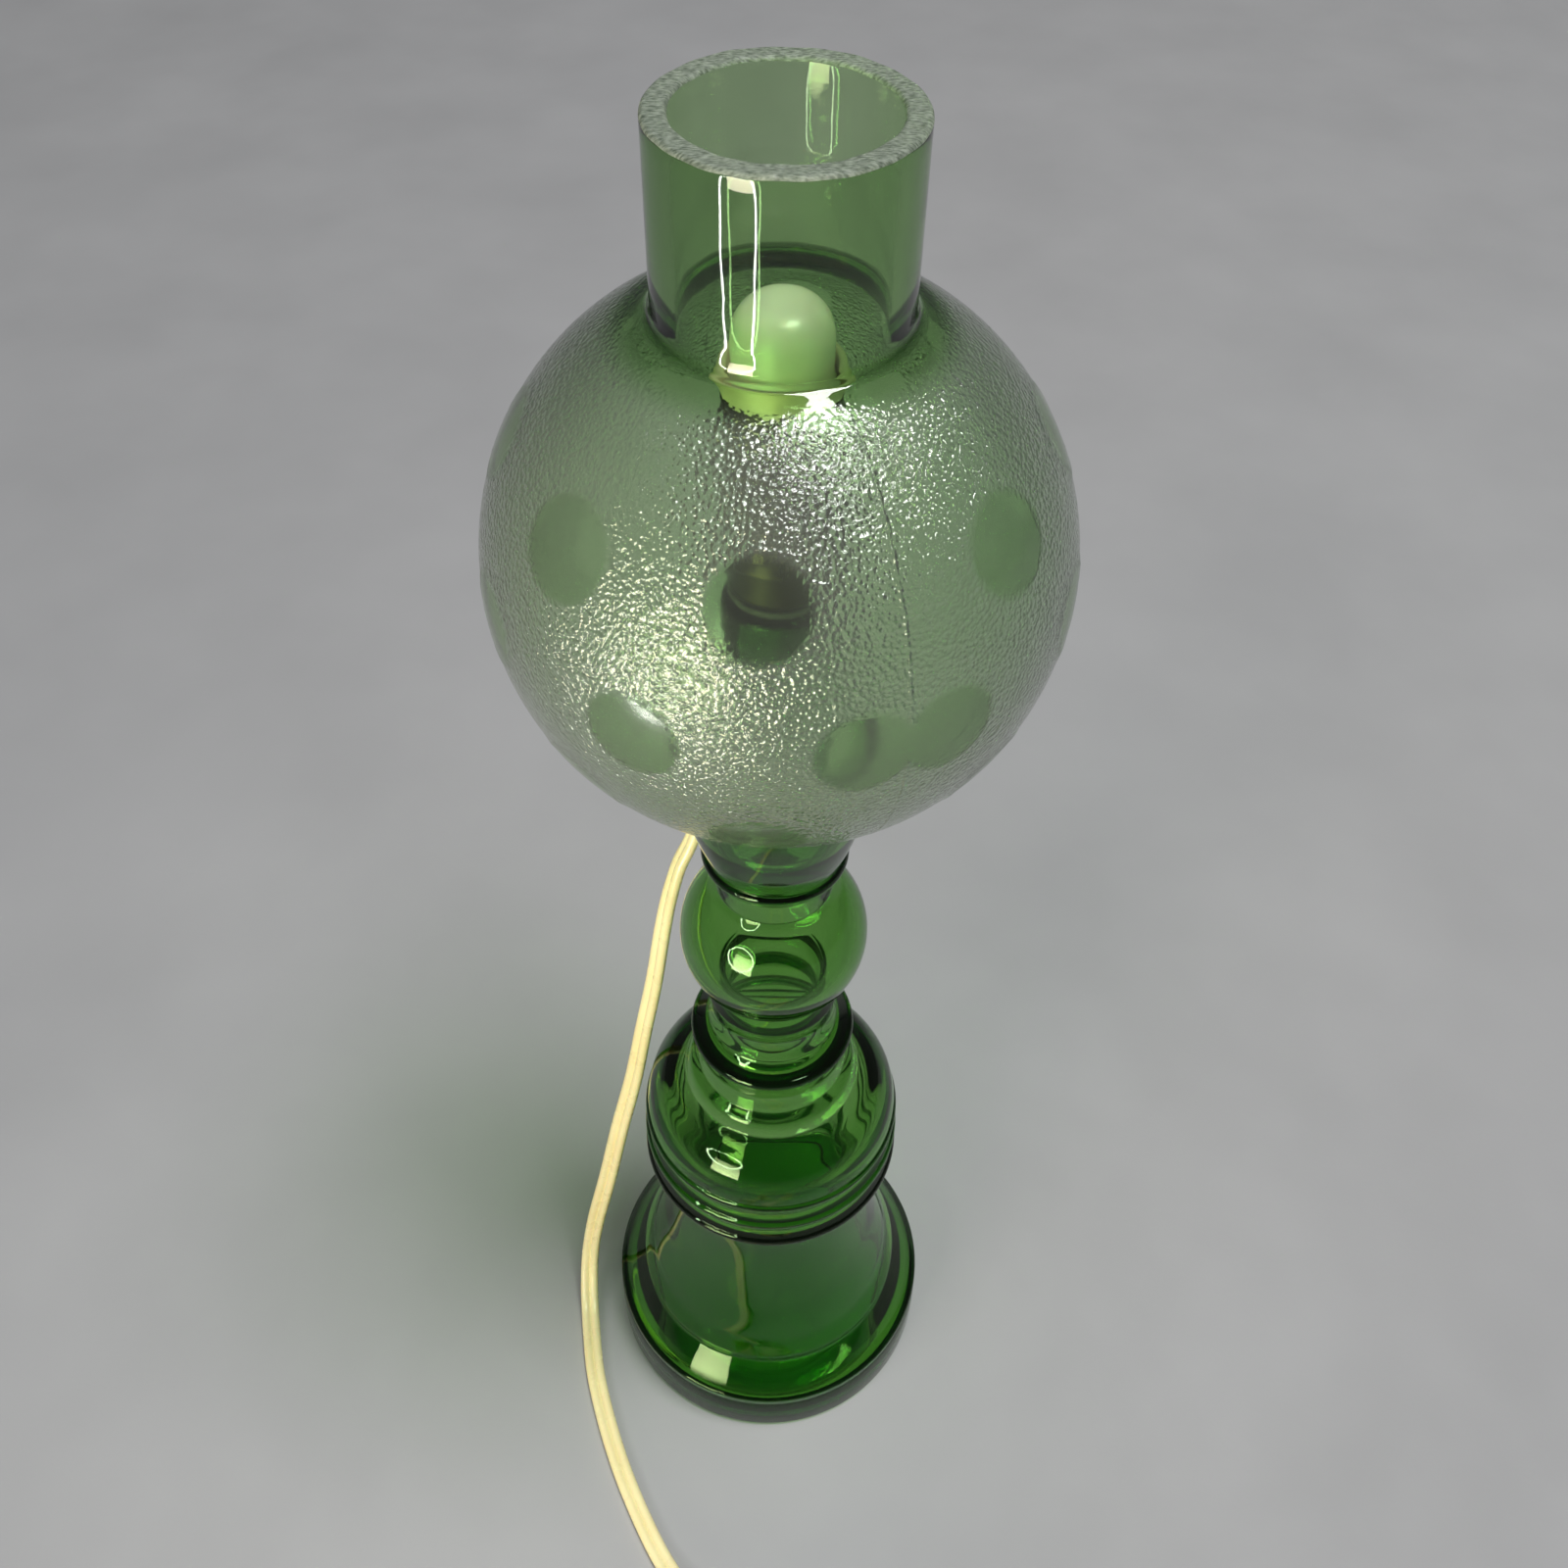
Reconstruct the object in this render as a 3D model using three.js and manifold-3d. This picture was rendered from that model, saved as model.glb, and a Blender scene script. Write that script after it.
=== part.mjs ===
// Green glass table lamp: a hollow turned-looking bottle base, a lift-off globe shade with a
// straight chimney, a keyless candelabra socket on a bottle adapter, and a flat two-wire cord
// with an in-line switch and a two-blade plug.
// Units are millimetres. +Z is up, the lamp's axis is the Z axis and the floor is z = 0.
import * as THREE from 'three';
import { mergeVertices } from 'three/addons/utils/BufferGeometryUtils.js';
import Module from 'manifold-3d';

const wasm = await Module();
wasm.setup();

// ---------------------------------------------------------------- driving sizes
const TOTAL_H = 420;            // floor to the chimney's rim
const GAP = 0.3;                // clearance between touching pieces
const GLASS_SEGMENTS = 28;
const SMALL_SEGMENTS = 14;
const SOCKET_SEGMENTS = 20;

const GLOBE_R = 57.5;           // outside of the globe
const GLOBE_Z = 333;            // height of its centre
const GLOBE_WALL = 3.6;
const CHIMNEY_R = 22.6;
const CHIMNEY_BORE_R = 18.2;
const SHADE_MOUTH_R = 17;       // lower opening of the globe

const FOOT_R = 51.5;
const FOOT_WALL_H = 21;
const BALL_R = 23.9;
const BALL_Z = 211;
const CUP_RIM_R = 24.3;
const NECK_R = 11.8;            // neck tube that carries the socket
const NECK_BORE_R = 9;
const NECK_TOP_Z = 324.6;

const SOCKET_R = 10.9;
const SOCKET_Z = 326.7;         // underside of the socket's cap
const SOCKET_TOP_Z = 377.5;
const BULB_R = 9.2;
const BULB_TOP_Z = 389;

const CORD_W = 6.1;             // flat two-wire cord, width by thickness
const CORD_T = 3.1;
const OUTLET_Z = 333.6;         // cord outlet in the side of the socket's cap
const CORD_SIDE = new THREE.Vector3(-0.35, 0.937, 0);    // side on which the cord leaves
const NOTCH_Z = 276;            // cord's centre in the notch of the cup's rim

// ---------------------------------------------------------------- materials
function material(color, roughness, metalness) {
  return new THREE.MeshStandardMaterial({ color, roughness, metalness });
}

const greenGlass = material(0x3f7a3c, 0.08, 0);
const shadeGlass = material(0x8fb08c, 0.35, 0);
const frostedGlass = material(0xe9efe2, 0.5, 0);
const clearGlass = material(0xdfe8e4, 0.05, 0);
const antiqueBrass = material(0x3a3024, 0.4, 0.9);
const brass = material(0xb8964a, 0.3, 1);
const steel = material(0xa8abad, 0.35, 1);
const blackRubber = material(0x1b1b1b, 0.8, 0);
const phenolic = material(0x2a211c, 0.5, 0);
const fibre = material(0x9a8463, 0.9, 0);
const creamVinyl = material(0xdccf9c, 0.45, 0);
const creamPlastic = material(0xe2d9b6, 0.35, 0);
const darkWire = material(0x55504a, 0.4, 0.9);

// ---------------------------------------------------------------- helpers
const lamp = new THREE.Group();

function addMesh(parent, name, geometry, meshMaterial) {
  const mesh = new THREE.Mesh(geometry, meshMaterial);
  mesh.name = name;
  parent.add(mesh);
  return mesh;
}

// A turned solid: profile points are [radius, height].
function turned(profile, segments = SMALL_SEGMENTS) {
  const points = profile.map(([r, z]) => new THREE.Vector2(r, z));
  return new THREE.LatheGeometry(points, segments).rotateX(Math.PI / 2);
}

// A turned ring: the profile closes on itself, and may run either way round.
function turnedRing(profile, segments = SMALL_SEGMENTS) {
  const outline = profile.map(([r, z]) => new THREE.Vector2(r, z));
  const ring = THREE.ShapeUtils.isClockWise(outline) ? [...profile].reverse() : profile;
  return turned([...ring, ring[0]], segments);
}

// Arc of a profile about (r, z), angles in degrees from +radius towards +z.
function arc(r, z, radius, from, to, steps) {
  const points = [];
  for (let i = 0; i <= steps; i++) {
    const angle = THREE.MathUtils.degToRad(from + (to - from) * i / steps);
    points.push([r + radius * Math.cos(angle), z + radius * Math.sin(angle)]);
  }
  return points;
}

// A smooth stretch of a profile through a few points.
function smooth(points, steps) {
  const curve = new THREE.SplineCurve(points.map(([r, z]) => new THREE.Vector2(r, z)));
  return curve.getPoints(steps).map((p) => [p.x, p.y]);
}

function extruded(shape, depth, curveSegments = 8) {
  return new THREE.ExtrudeGeometry(shape, { depth, bevelEnabled: false, curveSegments });
}

function stadium(length, width) {
  const shape = new THREE.Shape();
  const half = (length - width) / 2;
  shape.absarc(half, 0, width / 2, -Math.PI / 2, Math.PI / 2);
  shape.absarc(-half, 0, width / 2, Math.PI / 2, Math.PI * 1.5);
  shape.closePath();
  return shape;
}

function roundedBox(width, depth, radius) {
  const x = width / 2 - radius;
  const y = depth / 2 - radius;
  const shape = new THREE.Shape();
  shape.absarc(x, y, radius, 0, Math.PI / 2);
  shape.absarc(-x, y, radius, Math.PI / 2, Math.PI);
  shape.absarc(-x, -y, radius, Math.PI, Math.PI * 1.5);
  shape.absarc(x, -y, radius, Math.PI * 1.5, Math.PI * 2);
  shape.closePath();
  return shape;
}

function toManifold(geometry) {
  const bare = new THREE.BufferGeometry();
  bare.setAttribute('position', geometry.getAttribute('position').clone());
  if (geometry.index) bare.setIndex(geometry.index.clone());
  const merged = mergeVertices(bare, 1e-4);
  return new wasm.Manifold(new wasm.Mesh({
    numProp: 3,
    vertProperties: new Float32Array(merged.getAttribute('position').array),
    triVerts: new Uint32Array(merged.index.array),
  }));
}

function fromManifold(solid) {
  const mesh = solid.getMesh();
  const geometry = new THREE.BufferGeometry();
  geometry.setAttribute('position', new THREE.BufferAttribute(mesh.vertProperties, 3));
  geometry.setIndex(new THREE.BufferAttribute(mesh.triVerts, 1));
  return geometry;
}

// The geometry with the tools' volumes cut away.
function cut(geometry, ...tools) {
  let solid = toManifold(geometry);
  for (const tool of tools) solid = solid.subtract(toManifold(tool));
  return fromManifold(solid);
}

// The geometries joined into one body.
function joined(...geometries) {
  let solid = toManifold(geometries[0]);
  for (const geometry of geometries.slice(1)) solid = solid.add(toManifold(geometry));
  return fromManifold(solid);
}

function box(width, depth, height, x, y, z) {
  return new THREE.BoxGeometry(width, depth, height).translate(x, y, z);
}

// An upright cylinder from z0 to z1.
function rod(radius, z0, z1, segments = SMALL_SEGMENTS) {
  return turned([[0, z0], [radius, z0], [radius, z1], [0, z1]], segments);
}

// Turns a shape's frame so that its own +Z points along a horizontal direction.
function alongSide(geometry, direction) {
  const across = new THREE.Vector3(-direction.y, direction.x, 0);
  const up = new THREE.Vector3(0, 0, 1);
  return geometry.applyMatrix4(new THREE.Matrix4().makeBasis(across, up, direction));
}

// Where the cord hangs, its flat face turns with height: [height, degrees from the front].
const CORD_TWIST = [[0, 0], [64, 17], [119, 40], [184, 62], [220, 95], [262, 159.5]];

function hangingFace(z) {
  const { lerp, inverseLerp, clamp, degToRad } = THREE.MathUtils;
  let i = 1;
  while (i < CORD_TWIST.length - 1 && z > CORD_TWIST[i][0]) i++;
  const [low, high] = [CORD_TWIST[i - 1], CORD_TWIST[i]];
  const share = clamp(inverseLerp(low[0], high[0], z), 0, 1);
  const angle = degToRad(lerp(low[1], high[1], share));
  return new THREE.Vector3(-Math.sin(angle), -Math.cos(angle), 0);
}

// A path whose cross-section keeps its flat face turned up, or sideways where it hangs.
class FlatCordCurve extends THREE.CatmullRomCurve3 {
  computeFrenetFrames(steps) {
    const tangents = [];
    const normals = [];
    const binormals = [];
    for (let i = 0; i <= steps; i++) {
      const point = this.getPointAt(i / steps);
      const tangent = this.getTangentAt(i / steps).normalize();
      const hanging = THREE.MathUtils.smoothstep(point.z, 10, 60);
      const face = hangingFace(point.z).multiplyScalar(hanging);
      face.z = 1;
      face.addScaledVector(tangent, -face.dot(tangent)).normalize();
      tangents.push(tangent);
      normals.push(face);
      binormals.push(tangent.clone().cross(face));
    }
    return { tangents, normals, binormals };
  }
}

function flatCord(points, steps) {
  const corner = 1.1;
  const x = CORD_T / 2;
  const y = CORD_W / 2;
  const section = new THREE.Shape([
    new THREE.Vector2(x, y - corner), new THREE.Vector2(x - corner, y),
    new THREE.Vector2(corner - x, y), new THREE.Vector2(-x, y - corner),
    new THREE.Vector2(-x, corner - y), new THREE.Vector2(corner - x, -y),
    new THREE.Vector2(x - corner, -y), new THREE.Vector2(x, corner - y),
  ]);
  const path = new FlatCordCurve(points, false, 'centripetal');
  return new THREE.ExtrudeGeometry(section, { steps, extrudePath: path, curveSegments: 1 });
}

function roundWire(points, radius, steps, sides = 8) {
  const section = new THREE.Shape();
  section.absarc(0, 0, radius, 0, Math.PI * 2);
  const path = new THREE.CatmullRomCurve3(points, false, 'centripetal');
  return new THREE.ExtrudeGeometry(section, { steps, extrudePath: path, curveSegments: sides });
}

// A point on the cord's side of the lamp, at a distance from the axis.
function onCordSide(radius, z, sideways = 0) {
  const across = new THREE.Vector3(-CORD_SIDE.y, CORD_SIDE.x, 0);
  return CORD_SIDE.clone().multiplyScalar(radius).addScaledVector(across, sideways).setZ(z);
}

// ---------------------------------------------------------------- glass base
const SEAT_R = GLOBE_R + GAP;
function seatZ(r) {
  return GLOBE_Z - Math.sqrt(SEAT_R * SEAT_R - r * r);
}

function baseOutside() {
  return [
    [0, 2], [39, 2], [41, 0], [49.8, 0],
    [FOOT_R, 2], [FOOT_R - 0.3, FOOT_WALL_H - 5], [50.7, FOOT_WALL_H - 3.2],
    [51.2, FOOT_WALL_H - 0.4], [49.4, FOOT_WALL_H + 1],
    ...smooth([[48, 23.4], [45, 27.4], [41.9, 31.4]], 2),
    [42.2, 35], [40.4, 38],
    ...smooth([[39, 41.5], [34.6, 57], [31.4, 73], [29.7, 88], [29.8, 96], [31.8, 101]], 6),
    ...arc(36, 108.3, 1.8, -60, 60, 2),
    [35.7, 113.2],
    ...arc(35.7, 118, 1.8, -60, 60, 2),
    [35.4, 122.8],
    ...arc(35.2, 127.3, 1.8, -60, 60, 2),
    ...smooth([[36.1, 131.5], [34.8, 136.4], [31, 142.3], [24.6, 147]], 4),
    [23.9, 149.2], [23.1, 151],
    ...smooth([[20.6, 153.4], [19.5, 158.6], [19.9, 164.6]], 2),
    ...arc(20.4, 168.4, 1.9, -75, 75, 3),
    [17.4, 173.8], [16.1, 177.6], [16.1, 183.4], [17.5, 187],
    ...arc(0, BALL_Z, BALL_R, -49, 47, 8),
    [14.4, 231.4], [14.2, 237.6],
    ...arc(15.9, 243.2, 1.9, -90, 60, 3),
    ...smooth([[17.4, 246.4], [20.4, 257.5], [23.2, 271], [CUP_RIM_R, seatZ(CUP_RIM_R) - 1]], 3),
    [CUP_RIM_R - 0.8, seatZ(CUP_RIM_R - 0.8)],
    [CUP_RIM_R - 2.2, seatZ(CUP_RIM_R - 2.2)],
  ];
}

function baseInside() {
  return [
    ...smooth([[CUP_RIM_R - 3, 276.5], [20.2, 270], [17.6, 258], [15.2, 251.4]], 2),
    [13.8, 249.6], [NECK_R, 252],
    [NECK_R, NECK_TOP_Z - 1.4], [NECK_R - 1, NECK_TOP_Z], [NECK_BORE_R + 0.8, NECK_TOP_Z],
    [NECK_BORE_R, NECK_TOP_Z - 1],
    [NECK_BORE_R, 252], [11, 243], [11.3, 234.5],
    ...arc(0, BALL_Z, BALL_R - 3, 57, -49, 6),
    [13, 182], [13.4, 175], [16.6, 169.5], [16.6, 158],
    ...smooth([[20, 150.2], [27.5, 142.6], [31.6, 135.6], [32.8, 128]], 3),
    [32.9, 108],
    ...smooth([[29, 103], [26.6, 96], [26.6, 88], [31.6, 57], [36.4, 40.4]], 4),
    [38.8, 35], [47.4, 16], [47.6, 8], [45.6, 6], [0, 6.4],
  ];
}

function glassBase() {
  const body = turned([...baseOutside(), ...baseInside()], GLASS_SEGMENTS);
  const notch = extruded(stadium(CORD_W + 16, CORD_W + 1.2), 16, 5);
  notch.rotateZ(Math.PI / 2).translate(0, 0, 15);
  alongSide(notch, CORD_SIDE);
  const lowEnd = NOTCH_Z - CORD_T / 2 - 0.6;
  notch.translate(0, 0, lowEnd + (CORD_W + 16) / 2);
  return cut(body, notch);
}

addMesh(lamp, 'glass_base', glassBase(), greenGlass);

// ---------------------------------------------------------------- glass shade
function shadeProfile() {
  const outerJoin = THREE.MathUtils.radToDeg(Math.acos((CHIMNEY_R + 1.6) / GLOBE_R));
  const innerR = GLOBE_R - GLOBE_WALL;
  const innerJoin = THREE.MathUtils.radToDeg(Math.acos((CHIMNEY_BORE_R + 1.2) / innerR));
  const mouthOut = THREE.MathUtils.radToDeg(Math.acos((SHADE_MOUTH_R + 1.4) / GLOBE_R));
  const mouthIn = THREE.MathUtils.radToDeg(Math.acos((SHADE_MOUTH_R + 0.6) / innerR));
  const outerJoinZ = GLOBE_Z + GLOBE_R * Math.sin(THREE.MathUtils.degToRad(outerJoin));
  const innerJoinZ = GLOBE_Z + innerR * Math.sin(THREE.MathUtils.degToRad(innerJoin));
  const lipZ = GLOBE_Z - Math.sqrt(GLOBE_R ** 2 - (SHADE_MOUTH_R + 1.4) ** 2);
  return [
    [CHIMNEY_BORE_R + 0.5, TOTAL_H], [CHIMNEY_R - 0.6, TOTAL_H], [CHIMNEY_R, TOTAL_H - 0.6],
    [CHIMNEY_R, outerJoinZ + 3], [CHIMNEY_R + 0.4, outerJoinZ + 1.2],
    ...arc(0, GLOBE_Z, GLOBE_R, outerJoin, -mouthOut, 15),
    [SHADE_MOUTH_R + 0.3, lipZ + 0.5], [SHADE_MOUTH_R, lipZ + 1.6],
    ...arc(0, GLOBE_Z, innerR, -mouthIn, innerJoin, 14),
    [CHIMNEY_BORE_R + 0.3, innerJoinZ + 1.4], [CHIMNEY_BORE_R, innerJoinZ + 3],
    [CHIMNEY_BORE_R, TOTAL_H - 0.6],
  ];
}

addMesh(lamp, 'glass_shade', turnedRing(shadeProfile(), GLASS_SEGMENTS), shadeGlass);

// ---------------------------------------------------------------- bottle adapter
const NIPPLE_R = 4.85;
const HOLE_R = NIPPLE_R + GAP;

function adapterPlug() {
  const ribs = [];
  for (let i = 0; i < 3; i++) {
    const z = 307 + i * 5.4;
    ribs.push([7.9, z], [8.6, z + 1.6], [7.9, z + 3.2]);
  }
  return turnedRing([[HOLE_R, 304], [7.2, 304], ...ribs, [7.9, NECK_TOP_Z + GAP],
    [SOCKET_R - 0.4, NECK_TOP_Z + GAP], [SOCKET_R - 0.4, SOCKET_Z - GAP],
    [HOLE_R, SOCKET_Z - GAP]]);
}

function hexNut(acrossFlats, z0, z1) {
  const shape = new THREE.Shape();
  for (let i = 0; i < 6; i++) {
    const angle = i * Math.PI / 3;
    const corner = acrossFlats / Math.sqrt(3);
    const point = [corner * Math.cos(angle), corner * Math.sin(angle)];
    if (i === 0) shape.moveTo(...point);
    else shape.lineTo(...point);
  }
  shape.closePath();
  const hole = new THREE.Path();
  hole.absarc(0, 0, HOLE_R, 0, Math.PI * 2, true);
  shape.holes.push(hole);
  return extruded(shape, z1 - z0, 10).translate(0, 0, z0);
}

addMesh(lamp, 'bottle_adapter', adapterPlug(), blackRubber);
addMesh(lamp, 'threaded_nipple', turnedRing([[3.6, 299], [NIPPLE_R - 0.4, 299],
  [NIPPLE_R, 299.6], [NIPPLE_R, 332.6], [NIPPLE_R - 0.4, 333.2], [3.6, 333.2]]), brass);
addMesh(lamp, 'lower_lock_nut', hexNut(12.6, 300.4, 303.7), brass);
addMesh(lamp, 'lock_washer', turnedRing([[HOLE_R, 327.9], [8, 327.9], [8, 328.7],
  [HOLE_R, 328.7]]), steel);
addMesh(lamp, 'upper_lock_nut', hexNut(12.6, 329, 332), brass);

// ---------------------------------------------------------------- socket
const SHELL_WALL = 0.8;
const CAP_TOP_Z = 341;
const BODY_Z = 336.6;
const BODY_TOP_Z = 343.6;
const COLLAR_Z = 370;
const TERMINAL_Z = 340;
const TERMINAL_FLAT = 6.4;      // distance of the terminal flats from the axis

function outletSlot(width, height, from, to) {
  const slot = extruded(stadium(width, height), to - from, 6).translate(0, 0, from);
  return alongSide(slot, CORD_SIDE).translate(0, 0, OUTLET_Z);
}

function socketCap() {
  const r = SOCKET_R;
  const cup = turnedRing([[HOLE_R, SOCKET_Z], [r - 1.6, SOCKET_Z], [r - 0.5, SOCKET_Z + 0.5],
    [r, SOCKET_Z + 1.6], [r, CAP_TOP_Z - 1.6], [r + 0.4, CAP_TOP_Z - 0.8], [r, CAP_TOP_Z],
    [r - 0.6, CAP_TOP_Z], [r - 0.6, SOCKET_Z + 1.9], [r - 1.4, SOCKET_Z + 0.9],
    [HOLE_R, SOCKET_Z + 0.9]], SOCKET_SEGMENTS);
  return cut(cup, outletSlot(CORD_W + 3.6, CORD_T + 3, 6, 14));
}

function socketShell() {
  const r = SOCKET_R;
  const inner = r - SHELL_WALL;
  return turnedRing([[r - 1.6, CAP_TOP_Z - 3.5], [r - 0.9, CAP_TOP_Z - 3.5],
    [r - 0.9, CAP_TOP_Z + GAP], [r, CAP_TOP_Z + GAP], [r, CAP_TOP_Z + 2.4],
    [r + 0.35, CAP_TOP_Z + 3.2], [r, CAP_TOP_Z + 4], [r, COLLAR_Z - GAP],
    [inner, COLLAR_Z - GAP], [inner, CAP_TOP_Z + 1.2], [r - 1.6, CAP_TOP_Z + 1.2]], SOCKET_SEGMENTS);
}

function rimCollar() {
  const inner = SOCKET_R - 1.1;
  return turnedRing([[inner, COLLAR_Z], [SOCKET_R, COLLAR_Z], [SOCKET_R, SOCKET_TOP_Z - 1.8],
    ...arc(SOCKET_R - 0.2, SOCKET_TOP_Z - 0.8, 0.8, -60, 180, 4),
    [inner, SOCKET_TOP_Z - 1.4]], SOCKET_SEGMENTS);
}

function socketBody() {
  const block = turned([[0, BODY_Z], [8, BODY_Z], [9, BODY_Z + 1], [9, BODY_TOP_Z],
    [0, BODY_TOP_Z]]);
  const cuts = [];
  for (const side of [-1, 1]) {
    cuts.push(box(6, 20, 20, side * (TERMINAL_FLAT + 3), 0, TERMINAL_Z));
    cuts.push(rod(1.5, 0, 4, 12).rotateY(side * Math.PI / 2)
      .translate(side * (TERMINAL_FLAT - 3.5), 0, TERMINAL_Z));
  }
  return cut(block, ...cuts);
}

// A terminal screw whose head faces outwards along x.
function terminalScrew(side) {
  const screw = turned([[0, -3.2], [1.2, -3.2], [1.2, 0.3], [2.2, 0.3], [2.2, 1.4], [1.6, 2],
    [0, 2]], 12);
  const slot = box(0.6, 5, 1.2, 0, 0, 2);
  return cut(screw, slot).rotateY(side * Math.PI / 2)
    .translate(side * TERMINAL_FLAT, 0, TERMINAL_Z);
}

// Rolled thread: a wavy cup wall from z0 to z1 between two radii.
function rolledThread(radius, depth, pitch, z0, z1) {
  const points = [];
  const turns = Math.round((z1 - z0) / pitch);
  for (let i = 0; i <= turns * 2; i++) {
    points.push([radius - (i % 2) * depth, z0 + (z1 - z0) * i / (turns * 2)]);
  }
  return points;
}

function screwContact() {
  const outer = rolledThread(7.1, 0.45, 2.54, 346, 361);
  const inner = rolledThread(6.7, 0.45, 2.54, 346, 361).reverse();
  return turnedRing([[2.8, 343.9], [6.4, 343.9], ...outer, ...inner, [6.1, 344.4],
    [2.8, 344.4]]);
}

addMesh(lamp, 'socket_cap', socketCap(), antiqueBrass);
addMesh(lamp, 'cord_outlet_bushing', cut(
  outletSlot(CORD_W + 3, CORD_T + 2.4, 9.6, 11.9),
  outletSlot(CORD_W + 0.8, CORD_T + 0.9, 8, 14)), blackRubber);
addMesh(lamp, 'socket_shell', socketShell(), antiqueBrass);
addMesh(lamp, 'socket_rim_collar', rimCollar(), brass);
addMesh(lamp, 'insulating_liner', turnedRing([[9.45, 344.6], [9.8, 344.6], [9.8, 369],
  [9.45, 369]], SOCKET_SEGMENTS), fibre);
addMesh(lamp, 'socket_body', socketBody(), phenolic);
addMesh(lamp, 'screw_shell_contact', screwContact(), brass);
addMesh(lamp, 'centre_contact', turned([[0, 343.9], [2.2, 343.9], [2.2, 344.4], [1.4, 345.4],
  [1.2, 346], [0, 346]], 12), brass);
addMesh(lamp, 'terminal_screw_live', terminalScrew(-1), brass);
addMesh(lamp, 'terminal_screw_neutral', terminalScrew(1), steel);

// ---------------------------------------------------------------- bulb
function bulbGlass() {
  const dome = BULB_TOP_Z - BULB_R;
  const wall = 0.7;
  return turnedRing([
    [2.9, 358.3], [4.7, 358.3], [4.8, 365.4],
    ...smooth([[5.6, 367.2], [7.9, 370.2], [BULB_R, 374]], 2),
    ...arc(0, dome, BULB_R, 0, 84, 5),
    [0.6, BULB_TOP_Z], [0.6, BULB_TOP_Z - wall],
    ...arc(0, dome, BULB_R - wall, 84, 0, 5),
    ...smooth([[BULB_R - wall, 374.2], [7.2, 370.8], [4.9, 367.6]], 2),
    [4.1, 365.6], [4, 359], [2.9, 359],
  ], SOCKET_SEGMENTS);
}

// The dome is closed by its own tip, so the glass stays one open-ended body.
function closedBulbGlass() {
  const tip = rod(1.4, BULB_TOP_Z - 0.72, BULB_TOP_Z - 0.02, 12);
  return joined(bulbGlass(), tip);
}

function bulbBase() {
  const outer = rolledThread(5.95, 0.35, 2.54, 351, 363.7);
  const inner = rolledThread(5.45, 0.35, 2.54, 351, 363.7).reverse();
  return turnedRing([[4.2, 350.5], [5.5, 350.5], ...outer, [5.9, 364.8], [5.3, 364.8],
    ...inner, [4.9, 351.1], [4.2, 351.1]]);
}

const bulb = new THREE.Group();
lamp.add(bulb);
addMesh(bulb, 'bulb_glass', closedBulbGlass(), frostedGlass);
addMesh(bulb, 'bulb_screw_base', bulbBase(), steel);
addMesh(bulb, 'bulb_insulator', turned([[0, 348.2], [2.4, 348.2], [3.9, 350.2], [3.9, 351.6],
  [0, 351.6]], 16), phenolic);
addMesh(bulb, 'bulb_contact', turned([[0, 346.3], [1.1, 346.5], [2, 347.3], [2, 347.9],
  [0, 347.9]], 12), steel);
addMesh(bulb, 'bulb_stem', turned([[0, 359.3], [2.5, 359.3], [2.5, 360.4], [1.5, 362.5],
  [1.3, 369.6], [1.8, 371.4], [0, 371.4]], 12), clearGlass);
for (const [side, name] of [[-1, 'left'], [1, 'right']]) {
  addMesh(bulb, `filament_support_${name}`, roundWire([
    new THREE.Vector3(side * 1.2, 0, 371.8), new THREE.Vector3(side * 1.8, 0, 374.5),
    new THREE.Vector3(side * 4, 0, 378.6)], 0.25, 4, 3), darkWire);
}
addMesh(bulb, 'filament', roundWire([
  new THREE.Vector3(-4, 0, 379.2), new THREE.Vector3(-2, 0, 381),
  new THREE.Vector3(0, 0, 380.2), new THREE.Vector3(2, 0, 381),
  new THREE.Vector3(4, 0, 379.2)], 0.25, 8, 3), darkWire);

// ---------------------------------------------------------------- cord inside the lamp
const INNER_ROUTE = [
  [8, OUTLET_Z], [10.2, OUTLET_Z], [12.3, OUTLET_Z - 0.1], [14, OUTLET_Z - 1.5],
  [14.5, OUTLET_Z - 4], [14.2, 325], [13.9, 318], [13.9, 300], [13.9, 286], [13.9, 279.8],
  [14.9, 277.2], [17.4, 276.1], [20.6, NOTCH_Z], [24.2, NOTCH_Z],
];

addMesh(lamp, 'cord_inside', flatCord(INNER_ROUTE.map(([r, z]) => onCordSide(r, z)), 24),
  creamVinyl);
for (const [side, name] of [[-1, 'live'], [1, 'neutral']]) {
  addMesh(lamp, `cord_lead_${name}`, roundWire([
    onCordSide(7.5, OUTLET_Z, side * -1.5), onCordSide(6.3, 333.9, side * -1.9),
    new THREE.Vector3(side * 5.4, 2.4, 334.9), new THREE.Vector3(side * 7.6, 0.4, 335.6),
    new THREE.Vector3(side * 8, -0.4, 336.5)], 0.75, 10, 4), brass);
}

// ---------------------------------------------------------------- cord on the floor
const FLOOR_Z = CORD_T / 2 + 0.05;
const HEADING = new THREE.Vector3(0.64, -0.768, 0);    // cord's direction beyond the switch
const SWITCH_AT = new THREE.Vector3(9, -140, 0);
const SWITCH_L = 58;
const SWITCH_CORD_Z = 6.4;
const COIL_CENTRE = new THREE.Vector3(18.5, -215.4, 0);
const COIL_TURN_R = 41;         // outermost turn, to the cord's middle
const COIL_INNER_R = 30.5;      // three turns on edge, side by side
const COIL_OUTER_R = COIL_TURN_R + CORD_T / 2 + 0.2;
const COIL_Z = 0.05;
const COIL_TOP_Z = 12.7;        // two layers
const TIE_ANGLE = -Math.PI / 3; // place of the tie around the coil
const TIE_WIDTH = 6;
const TIE_WALL = 0.6;

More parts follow.
